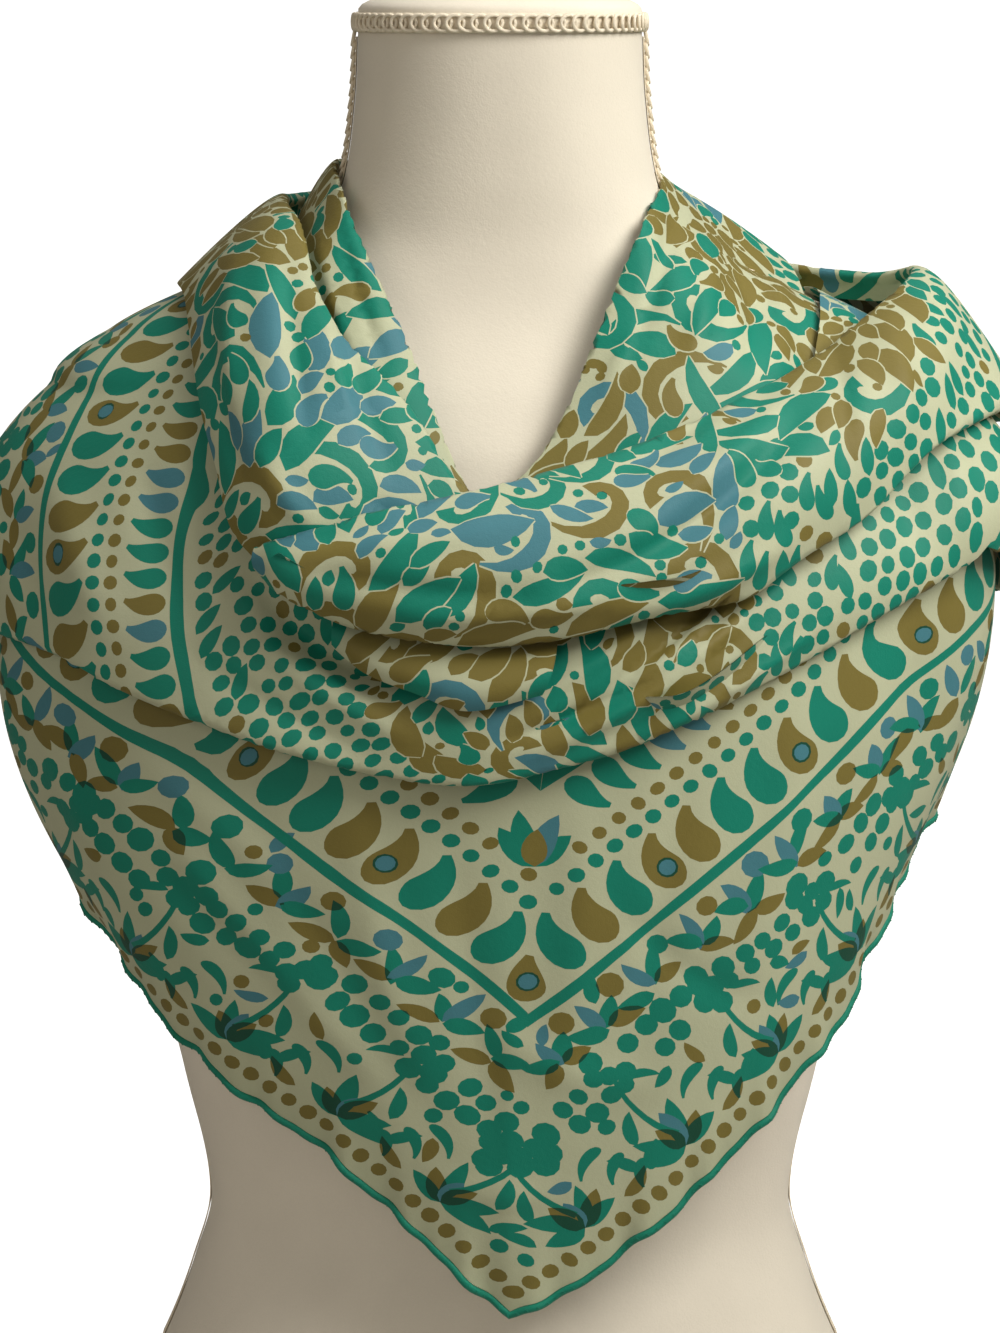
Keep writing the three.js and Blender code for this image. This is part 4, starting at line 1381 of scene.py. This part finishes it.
ROLL_CREASES = [
    (-84, 590, -80, 560, -72, 520, 5.0, -3.4),
    (-104, 585, -106, 560, -104, 520, 5.0, 2.2),
    (-62, 560, -50, 530, -40, 505, 4.5, -2.4),
    (-92, 520, -84, 500, -66, 486, 5.0, 2.2),
    (-112, 560, -108, 530, -96, 500, 4.0, -2.0),
    (-72, 575, -64, 548, -54, 524, 3.6, 2.0),
    (-50, 500, -34, 486, -20, 478, 3.6, -2.0),
]
NECK_CREASES = [
    (72, 604, 66, 580, 46, 548, 4.5, -3.4),
    (86, 590, 84, 570, 70, 540, 5.0, 2.6),
    (-64, 600, -56, 570, -44, 545, 3.5, -2.2),
    (-72, 596, -66, 566, -52, 540, 3.0, 1.6),
    (100, 585, 104, 565, 98, 540, 5.0, -2.4),
    (60, 580, 52, 556, 38, 530, 3.4, 1.8),
    (112, 580, 116, 560, 110, 540, 4.0, 1.8),
]
BACK_CREASES = [
    (-24, 570, -70, 530, -128, 470, 8, 3.0),
    (-20, 560, -50, 500, -100, 440, 7, -2.4),
    (-26, 585, -90, 560, -160, 500, 7, -2.4),
    (24, 570, 74, 532, 132, 474, 8, 3.0),
    (20, 560, 54, 500, 104, 446, 7, -2.4),
    (28, 585, 92, 562, 164, 505, 7, -2.2),
]

HEM_WAVES = ((31, 1.0, 0.4), (17, 0.5, 2.1), (53, 1.0, 4.0))  # length, height, phase
RIPPLE_REACH = 14  # columns that the waves fade over


def ripple_hem(grid):
    """Lets the lower edge wave a little, in and out and up and down, as a rolled hem does."""
    edge = grid[:, -1]
    run = run_along(edge)
    wave = sum(high * np.sin(2 * math.pi * run / long + turn) for long, high, turn in HEM_WAVES)
    swing = sum(high * np.cos(2 * math.pi * run / long + turn) for long, high, turn in HEM_WAVES)
    fade = np.clip(1 - (grid.shape[1] - 1 - np.arange(grid.shape[1])) / RIPPLE_REACH, 0, 1) ** 2
    inward = unit(grid[:, -4] - edge)
    move = wave[:, None, None] * grid_normals(grid) * 0.9
    move = move + (swing * 0.6)[:, None, None] * inward[:, None]
    return grid + move * fade[None, :, None]


def shaped(table, clearance, creases, behind=(), corner=NO_CORNER, ripple=False):
    """A stretch that is draped, creased in front and behind, and rested on the form again."""
    grid = drape(table, FINE_ALONG, FINE_ACROSS, clearance, corner)
    grid = crease(crease(grid, creases, -1), behind, 1)
    return rest_on_form(ripple_hem(grid) if ripple else grid, clearance - TROUGH_ROOM)


front_point = shaped(FRONT_POINT, ON_FORM, FRONT_CREASES, BACK_CREASES, TIP_ROW, ripple=True)
front_piece = printed_cloth("silk_front_point", front_point, (89, 13), pin_hem)
print("front point", len(front_piece.data.polygons), "faces")

# %% [markdown]
# The swag lies over the front point in one deep curve. Its lower edge is a fold of the cloth, not a
# hem, so it is rolled under. It is pinned where the border's two lines cross its lower edge.
# %% Lower swag
SWAG_PINS = [
    (-117, 414, 350, 160),
    (-112, 500, 450, 160),
    (-180, 434, 385, 92),
    (-6, 396, 222, 222),
    (186, 469, 160, 460),
    (190, 523, 160, 526),
]
lower_swag = roll_under(shaped(LOWER_SWAG, OVER_ONE, SWAG_CREASES, BACK_CREASES), 2.5, 16)
swag_piece = printed_cloth("silk_lower_swag", lower_swag, (91, 19), pin_places(SWAG_PINS))
print("lower swag", len(swag_piece.data.polygons), "faces")

# %% [markdown]
# The upper drape lies over the swag, with the short fold peeping out beneath its lip. The left roll
# comes forward from the shoulder, and the neck drape lies nearest the form. Upper edges are folds
# too, so they roll back.
# %% Middle fold, upper drape, left roll and neck drape
FOLD_PINS = [(-6, 430, 292, 292), (-50, 440, 330, 268)]
UPPER_PINS = [(2, 450, 309, 309), (60, 458, 270, 350), (2, 500, 345, 345)]
ROLL_PINS = [(-60, 490, 370, 320), (-100, 560, 440, 290)]
NECK_PINS = [(-6, 497, 389, 389), (-6, 478, 376, 376)]

middle_fold = drape(MIDDLE_FOLD, 90, 24, OVER_ONE)
fold_piece = printed_cloth("silk_middle_fold", middle_fold, (19, 7), pin_places(FOLD_PINS))

upper_drape = roll_under(shaped(UPPER_DRAPE, OVER_TWO, UPPER_CREASES, BACK_CREASES), 3.0, 14)
upper_drape = roll_back(upper_drape, 2.4, 7)
upper_piece = printed_cloth("silk_upper_drape", upper_drape, (91, 19), pin_places(UPPER_PINS))

left_roll = roll_back(shaped(LEFT_ROLL, OVER_TWO, ROLL_CREASES), 2.6, 6)
roll_piece = printed_cloth("silk_left_roll", left_roll, (61, 13), pin_places(ROLL_PINS))

neck_drape = roll_back(shaped(NECK_DRAPE, ON_FORM, NECK_CREASES), 0.9, 4)
neck_piece = printed_cloth("silk_neck_drape", neck_drape, (91, 13), pin_places(NECK_PINS))
print("neck drape", len(neck_piece.data.polygons), "faces")

# %% [markdown]
# The knot sits at the nape, out of the camera's sight. It is a plump wrap with slanting folds, and
# its middle is drawn in. Two tails hang from it, pleated by the knot, down to two of the square's
# corners, so they carry the same border and dots as the front point's tip.
# %% Knot and tails
KNOT_CENTRE = (0, 90, 588)
KNOT_HALF = (20, 15, 22)
KNOT_WAIST = 0.14
KNOT_POLE = math.radians(86)
KNOT_FOLDS = [
    (-19, 602, -4, 604, 18, 590, 3.0, -2.0),
    (-20, 592, -2, 595, 20, 578, 3.0, 1.2),
    (-19, 583, -2, 585, 17, 570, 2.6, -1.8),
    (-12, 575, 0, 575, 10, 567, 2.2, 1.0),
]

turn = np.linspace(0, 2 * math.pi, 121)[:, None]
rise = np.linspace(KNOT_POLE, -KNOT_POLE, 61)[None, :]
out_x = np.cos(rise) * np.sin(turn)
waist = 1 - KNOT_WAIST * np.exp(-((3 * out_x) ** 2))
knot_grid = np.stack([
    KNOT_CENTRE[0] + KNOT_HALF[0] * out_x,
    KNOT_CENTRE[1] - KNOT_HALF[1] * np.cos(rise) * np.cos(turn) * waist,
    KNOT_CENTRE[2] + KNOT_HALF[2] * np.sin(rise) * waist,
], axis=2)
knot_grid = crease(knot_grid, KNOT_FOLDS, 1)
KNOT_PINS = {(20, 7): (0, 530, 9.0), (10, 7): (-33, 530, 1.0)}
knot_piece = printed_cloth("silk_knot", knot_grid, (41, 15), lambda coarse: KNOT_PINS)

TAIL_COLUMNS = ("x", "y", "z", "wide")
TAILS = {
    "left": np.array([
        [-7, 97.8, 571.5, 9],
        [-12, 102, 548, 17],
        [-20, 103, 515, 30],
        [-27, 104, 482, 34],
        [-33, 104, 452, 18],
        [-37, 103, 430, 3],
    ], float),
    "right": np.array([
        [8, 97.6, 571.5, 9],
        [14, 102, 550, 18],
        [22, 104, 520, 32],
        [26, 105, 490, 36],
        [28, 104, 462, 20],
        [29, 103, 438, 3],
    ], float),
}
TAIL_BOW = 0.16
TAIL_PLEATS = 1.6  # waves across half a tail
PLEAT_DEPTH = 0.11
TAIL_STEPS = (120, 40)
TAIL_HEM_LONG = 62.0


def tail_grid(table, phase):
    """A strip that widens from the knot and closes to a corner, with pleats that fade towards it."""
    rows = row_at(table, np.linspace(0, len(table) - 1, TAIL_STEPS[0] + 1))
    x, y, z, wide = (rows[:, k, None] for k in range(4))
    across = np.linspace(-1, 1, TAIL_STEPS[1] + 1)[None, :]
    down = np.linspace(0, 1, TAIL_STEPS[0] + 1)[:, None]
    pleat = np.sin(TAIL_PLEATS * math.pi * across + phase + 1.3 * down) * (1 - 0.6 * down)
    depth = wide * (TAIL_BOW * (1 - across**2) + PLEAT_DEPTH * pleat)
    return np.stack([x + across * wide / 2, y + depth + 1.2, z + 0 * across], axis=2)


def pin_tail(coarse):
    """The two lower edges are hems that meet in the corner, and the top lies up its diagonal."""
    rows, cols = coarse.shape[:2]
    pins = {(0, cols // 2): (0.0, 150.0, 4.0), (rows - 1, cols // 2): (0.0, 0.5, 20.0)}
    for j, side in ((0, 1), (cols - 1, -1)):
        steps = np.linalg.norm(np.diff(coarse[::-1, j], axis=0), axis=1)
        for i, g in enumerate(np.cumsum(steps)):
            if g < TAIL_HEM_LONG:
                u, v = (0.0, g) if side > 0 else (g, 0.0)
                pins[(rows - 2 - i, j)] = (*to_hd(u, v), 12.0)
    return pins


tail_grids = {name: tail_grid(table, k * 1.1) for k, (name, table) in enumerate(TAILS.items())}
tail_pieces = {
    name: printed_cloth("silk_tail_" + name, grid, (31, 9), pin_tail)
    for name, grid in tail_grids.items()
}
print("knot and tails", len(knot_piece.data.polygons), "faces in the knot")

# %% [markdown]
# Two trims follow a path and repeat a small shape along it: the chain braid over the form's seams,
# and the hem, which is rolled by hand and whipped with tiny stitches. Each is a Geometry Nodes
# group with named inputs. The path is a line of points that know which way is outward.
# %% Shapes along a path
def new_group(name, values):
    """A geometry group with named inputs, and the sockets inside it."""
    tree = bpy.data.node_groups.new(name, "GeometryNodeTree")
    face = tree.interface
    face.new_socket("Geometry", in_out="INPUT", socket_type="NodeSocketGeometry")
    face.new_socket("Geometry", in_out="OUTPUT", socket_type="NodeSocketGeometry")
    for label, value in values.items():
        kind = "NodeSocketInt" if isinstance(value, int) else "NodeSocketFloat"
        face.new_socket(label, in_out="INPUT", socket_type=kind).default_value = value
    face.new_socket("Material", in_out="INPUT", socket_type="NodeSocketMaterial")
    return tree, node(tree, "NodeGroupInput").outputs, node(tree, "NodeGroupOutput").inputs


def vector_of(tree, x=0.0, y=0.0, z=0.0):
    """A vector from three sockets or numbers."""
    made = node(tree, "ShaderNodeCombineXYZ")
    for i, value in enumerate((x, y, z)):
        feed(tree, value, made.inputs[i])
    return made.outputs[0]


def stand_on_path(tree, ins, shape):
    """Stands a shape at an even pitch along the path, facing outward. Gives the path as well."""
    link = tree.links.new
    curve = node(tree, "GeometryNodeMeshToCurve")
    points = node(tree, "GeometryNodeCurveToPoints", mode="LENGTH")
    outward = node(tree, "GeometryNodeInputNamedAttribute", data_type="FLOAT_VECTOR")
    outward.inputs["Name"].default_value = "outward"
    up = node(tree, "FunctionNodeAlignRotationToVector", axis="Z")
    aligned = node(tree, "FunctionNodeAlignRotationToVector", axis="X", pivot_axis="Z")
    stand = node(tree, "GeometryNodeInstanceOnPoints")
    link(ins["Geometry"], curve.inputs["Mesh"])
    link(curve.outputs[0], points.inputs["Curve"])
    link(ins["Pitch"], points.inputs["Length"])
    link(outward.outputs["Attribute"], up.inputs["Vector"])
    link(up.outputs[0], aligned.inputs["Rotation"])
    link(points.outputs["Tangent"], aligned.inputs["Vector"])
    link(points.outputs["Points"], stand.inputs["Points"])
    link(shape, stand.inputs["Instance"])
    link(aligned.outputs[0], stand.inputs["Rotation"])
    return curve.outputs[0], stand.outputs[0]


def swept(tree, curve, radius, sides):
    """A round thread along a curve."""
    circle = node(tree, "GeometryNodeCurvePrimitiveCircle")
    circle.inputs["Resolution"].default_value = sides
    tree.links.new(radius, circle.inputs["Radius"])
    sweep = node(tree, "GeometryNodeCurveToMesh")
    tree.links.new(curve, sweep.inputs["Curve"])
    tree.links.new(circle.outputs[0], sweep.inputs["Profile Curve"])
    sweep.inputs["Fill Caps"].default_value = True
    return sweep.outputs[0]


def finish_group(tree, ins, outs, geometry):
    """Realizes the instances, shades them smooth and sets the material."""
    real = node(tree, "GeometryNodeRealizeInstances")
    smooth = node(tree, "GeometryNodeSetShadeSmooth")
    paint = node(tree, "GeometryNodeSetMaterial")
    tree.links.new(geometry, real.inputs[0])
    tree.links.new(real.outputs[0], smooth.inputs[0])
    tree.links.new(smooth.outputs[0], paint.inputs["Geometry"])
    tree.links.new(ins["Material"], paint.inputs["Material"])
    tree.links.new(paint.outputs[0], outs["Geometry"])


LINK_SIDES = 14
THREAD_SIDES = 6
HEM_SIDES = 10
STITCH_LEAN = 0.5


def build_chain():
    """Rings that lean on one another like a row of chain stitches."""
    values = {"Pitch": 0.005, "Length": 0.0068, "Width": 0.0055, "Thread": 0.0008, "Lean": 0.16,
              "Lift": 0.0009}
    tree, ins, outs = new_group("chain_braid", values)
    link = tree.links.new
    ring = node(tree, "GeometryNodeCurvePrimitiveCircle")
    ring.inputs["Resolution"].default_value = LINK_SIDES
    ring.inputs["Radius"].default_value = 0.5
    oval = node(tree, "GeometryNodeTransform")
    link(ring.outputs[0], oval.inputs["Geometry"])
    link(vector_of(tree, ins["Length"], ins["Width"], 1.0), oval.inputs["Scale"])
    lean = node(tree, "GeometryNodeTransform")
    link(swept(tree, oval.outputs[0], ins["Thread"], THREAD_SIDES), lean.inputs["Geometry"])
    link(vector_of(tree, y=ins["Lean"]), lean.inputs["Rotation"])
    link(vector_of(tree, z=ins["Lift"]), lean.inputs["Translation"])
    finish_group(tree, ins, outs, stand_on_path(tree, ins, lean.outputs[0])[1])
    return tree


def build_hem():
    """A rolled edge, thicker here and thinner there, with a slanting stitch at every pitch."""
    values = {"Pitch": 0.0042, "Radius": 0.0016, "Wobble": 0.8, "Bump Scale": 150.0,
              "Stitch": 0.0011, "Thread": 0.00026, "Seed": 3}
    tree, ins, outs = new_group("rolled_hem", values)
    link = tree.links.new
    stitch = node(tree, "GeometryNodeMeshUVSphere")
    stitch.inputs["Segments"].default_value = 6
    stitch.inputs["Rings"].default_value = 4
    stitch.inputs["Radius"].default_value = 1.0
    laid = node(tree, "GeometryNodeTransform")
    link(stitch.outputs[0], laid.inputs["Geometry"])
    link(vector_of(tree, ins["Thread"], ins["Stitch"], ins["Thread"]), laid.inputs["Scale"])
    link(vector_of(tree, z=STITCH_LEAN), laid.inputs["Rotation"])
    link(vector_of(tree, z=ins["Radius"]), laid.inputs["Translation"])
    path, stitches = stand_on_path(tree, ins, laid.outputs[0])
    bumps = node(tree, "ShaderNodeTexNoise", noise_dimensions="4D")
    link(ins["Bump Scale"], bumps.inputs["Scale"])
    link(ins["Seed"], bumps.inputs["W"])
    centred = math_node(tree, "SUBTRACT", bumps.outputs[0], 0.5)
    wave = math_node(tree, "MULTIPLY", centred, ins["Wobble"])
    thick = node(tree, "GeometryNodeSetCurveRadius")
    link(path, thick.inputs["Curve"])
    link(math_node(tree, "ADD", wave, 1.0), thick.inputs["Radius"])
    whole = node(tree, "GeometryNodeJoinGeometry")
    link(swept(tree, thick.outputs[0], ins["Radius"], HEM_SIDES), whole.inputs[0])
    link(stitches, whole.inputs[0])
    finish_group(tree, ins, outs, whole.outputs[0])
    return tree


CHAIN, HEM = build_chain(), build_hem()


def along_path(name, group, points, outward, material, closed=False, **inputs):
    """Runs a group on a path and keeps the result as a plain mesh object."""
    count = len(points)
    edges = [(k, k + 1) for k in range(count - 1)] + ([(count - 1, 0)] if closed else [])
    mesh = bpy.data.meshes.new(name + "_path")
    mesh.from_pydata((np.asarray(points) * MM).tolist(), edges, [])
    facing = mesh.attributes.new("outward", "FLOAT_VECTOR", "POINT")
    facing.data.foreach_set("vector", np.asarray(outward, np.float32).ravel())
    made = new_object(name, mesh)
    modifier = made.modifiers.new(group.name, "NODES")
    modifier.node_group = group
    values = {key.replace("_", " ").title(): value for key, value in inputs.items()}
    values["Material"] = material
    for socket in group.interface.items_tree:
        if socket.in_out == "INPUT" and socket.name in values:
            modifier[socket.identifier] = values[socket.name]
    depsgraph = bpy.context.evaluated_depsgraph_get()
    result = bpy.data.meshes.new_from_object(made.evaluated_get(depsgraph), depsgraph=depsgraph)
    made.modifiers.remove(modifier)
    made.data = result
    result.name = name
    return made


print("groups", CHAIN.name, HEM.name)

# %% [markdown]
# The hem is a teal roll of the silk itself. It follows the front point's lower edge, and on each
# tail it goes down one side, round the corner and up the other.
# %% Rolled hems
HEM_TEAL = linear(8, 122, 98)
hem_silk, shader = new_material("hem_silk", roughness=0.6, sheen_weight=0.1, specular_ior_level=0.25)
weave_into(hem_silk, shader, HEM_TEAL, 0.5, thread_scale=2400.0, crinkle_scale=700.0,
           crinkle=0.9, tone_variation=0.22)
HEM_RADIUS = 1.5
HEM_GAP = 0.3


def hem_path(edge, inner, normals):
    """The line that runs just outside a cloth's edge, in the cloth's own plane, and the normals."""
    along = unit(np.gradient(edge, axis=0))
    away = edge - inner
    away = unit(away - along * np.sum(away * along, axis=1, keepdims=True))
    return edge + away * (HEM_RADIUS + HEM_GAP), normals


def tail_edge(grid):
    """The hem of a tail: up from the hem's end on one edge, round the corner and up the other."""
    normals = grid_normals(grid)
    steps = np.linalg.norm(np.diff(grid[::-1, 0], axis=0), axis=1)
    first = len(grid) - 1 - int(np.searchsorted(np.cumsum(steps), TAIL_HEM_LONG))

    def round_the_corner(values, inset):
        """Values down one side, across the corner and up the other, some points in from the edge."""
        down, up = values[first:-1, inset], values[first:-1, -1 - inset][::-1]
        return np.concatenate([down, values[-1 - inset, ::8], up])

    return round_the_corner(grid, 0), round_the_corner(grid, 2), round_the_corner(normals, 0)


front_edge = hem_path(front_point[:, -1], front_point[:, -3], grid_normals(front_point)[:, -1])
front_hem = along_path("silk_rolled_hem", HEM, *front_edge, hem_silk)
tail_hems = {
    name: along_path("silk_hem_tail_" + name, HEM, *hem_path(*tail_edge(grid)), hem_silk)
    for name, grid in tail_grids.items()
}
print("hem", len(front_hem.data.polygons), "faces")

# %% [markdown]
# A flat tape covers the seam under the neck cap and the seam down each side of the form, and rings
# of chain braid are sewn along it. The side tapes go on without rings under the scarf and below it.
# %% Braids
BRAID_HALF = 4.0
BRAID_GAP = 0.35
TAPE_THICK = 0.5
SIDE_FOOT, SIDE_TOP = 2.5, 670.0
CHAIN_FOOT = 470.0  # the height at which the chain starts; the tape goes on below it
BRAID_CREAM = linear(228, 216, 194)
braid_cotton, shader = new_material("braid_cotton", roughness=0.85)
weave_into(braid_cotton, shader, BRAID_CREAM, 0.4, thread_scale=2600.0,
           crinkle_scale=900.0, crinkle=0.5, tone_variation=0.10)


def tape_loops(rows, outward):
    """Loops of points round a flat tape: those across it, and the same moved outwards."""
    low = np.asarray(rows)
    high = low + np.asarray(outward)[:, None] * TAPE_THICK
    return np.concatenate([low, high[:, ::-1]], axis=1)


def side_place(side, z, y):
    """How far out the form's surface lies beside the seam, at a height and a depth."""
    wide, front, back = (v[0] for v in form_section(np.array([z])))
    depth = front if y < 0 else back
    return side * wide * (1 - (abs(y) / depth) ** SECTION_POWER) ** (1 / SECTION_POWER)


def strip(loops, closed):
    """The points and faces of a solid strip, from one loop of points for each step along it."""
    count, size = loops.shape[:2]
    points = loops.reshape(-1, 3)
    faces = []
    for i in range(count if closed else count - 1):
        for j in range(size):
            here, there, beside = i * size, (i + 1) % count * size, (j + 1) % size
            faces.append((here + j, here + beside, there + beside, there + j))
    if not closed:
        faces.append(tuple(range(size))[::-1])
        faces.append(tuple((count - 1) * size + k for k in range(size)))
    return points, faces


def joined(name, chain, points, faces):
    """The chain and its tape as one mesh, with the tape's faces turned outwards."""
    mesh = chain.data
    old = np.array([v.co[:] for v in mesh.vertices]) / MM
    start = len(old)
    everything = [tuple(p.vertices) for p in mesh.polygons]
    volume = 0.0
    for face in faces:
        for k in range(1, len(face) - 1):
            a, b, c = (points[face[i]] for i in (0, k, k + 1))
            volume += float(np.dot(a, np.cross(b, c)))
    way = -1 if volume < 0 else 1
    everything += [tuple(start + k for k in face[::way]) for face in faces]
    bpy.data.objects.remove(chain)
    made = make_mesh(name, np.concatenate([old, points]) * MM, everything)
    made.data.materials.append(braid_cotton)
    return made


rim = section_ring(FORM_TOP, BRAID_GAP + TAPE_THICK)
rim_out = unit(np.roll(rim, -1, axis=0) - np.roll(rim, 1, axis=0))[:, [1, 0, 2]] * [1, -1, 1]
rim_rows = [
    [section_ring(FORM_TOP, BRAID_GAP)[i] + [0, 0, h] for h in (-BRAID_HALF, 0, BRAID_HALF)]
    for i in range(FORM_SIDES)
]
rim_chain = along_path("rim_chain", CHAIN, rim, rim_out, braid_cotton, closed=True,
                       length=0.0072, width=0.0062)
rim_braid = joined("dress_form_rim_braid", rim_chain,
                   *strip(tape_loops(rim_rows, rim_out), closed=True))
side_braids = {}
for side, solid in ((-1, "form_braid_left"), (1, "form_braid_right")):
    heights = np.append(np.arange(SIDE_FOOT, SIDE_TOP, FORM_STEP), SIDE_TOP)
    rows = np.array([
        [[side_place(side, z, y), y, z] for y in (-BRAID_HALF, 0, BRAID_HALF)] for z in heights
    ])
    climb = unit(np.gradient(rows[:, 1], axis=0))
    facing = side * np.stack([climb[:, 2], 0 * climb[:, 0], -climb[:, 0]], axis=1)
    rows = rows + facing[:, None] * BRAID_GAP
    middle = rows[:, 1] + facing * TAPE_THICK
    shown = heights >= CHAIN_FOOT
    chain = along_path("side_chain", CHAIN, middle[shown], facing[shown], braid_cotton)
    side_braids[solid] = joined(solid.replace("form", "dress_form"), chain,
                                *strip(tape_loops(rows, facing), closed=False))
print("rim braid", len(rim_braid.data.polygons), "faces")

# %% [markdown]
# Every piece now takes its solid's place, and the mean width and the length that each stretch of silk
# has on the flat cloth are printed.
# %% Place the pieces and print their flat sizes
PIECES = [
    (front_piece, "scarf_front_point", "draped", "form_body"),
    (swag_piece, "scarf_lower_swag", "draped", "silk_front_point"),
    (fold_piece, "scarf_middle_fold", "folded", "silk_lower_swag"),
    (upper_piece, "scarf_upper_drape", "draped", "silk_lower_swag"),
    (roll_piece, "scarf_left_roll", "draped", "silk_lower_swag"),
    (neck_piece, "scarf_neck_drape", "draped", "form_body"),
    (knot_piece, "scarf_knot", "gathered", "silk_neck_drape"),
    (tail_pieces["left"], "scarf_tail_left", "hung", "silk_knot"),
    (tail_pieces["right"], "scarf_tail_right", "hung", "silk_knot"),
]
WITH_HEM = {
    "scarf_front_point": front_hem,
    "scarf_tail_left": tail_hems["left"],
    "scarf_tail_right": tail_hems["right"],
}
for piece, solid, _, _ in PIECES:
    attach(piece, "root")
    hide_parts(solid)
for hem in WITH_HEM.values():
    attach(hem, "root")
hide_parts("scarf_rolled_hem")
for solid, piece in {"form_rim_braid": rim_braid, **side_braids}.items():
    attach(piece, "root")
    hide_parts(solid)
for piece, solid, held, below in PIECES:
    width, length = cut_sizes[piece.name]
    print(solid, "flat", round(width * 1000), "x", round(length * 1000), "mm")
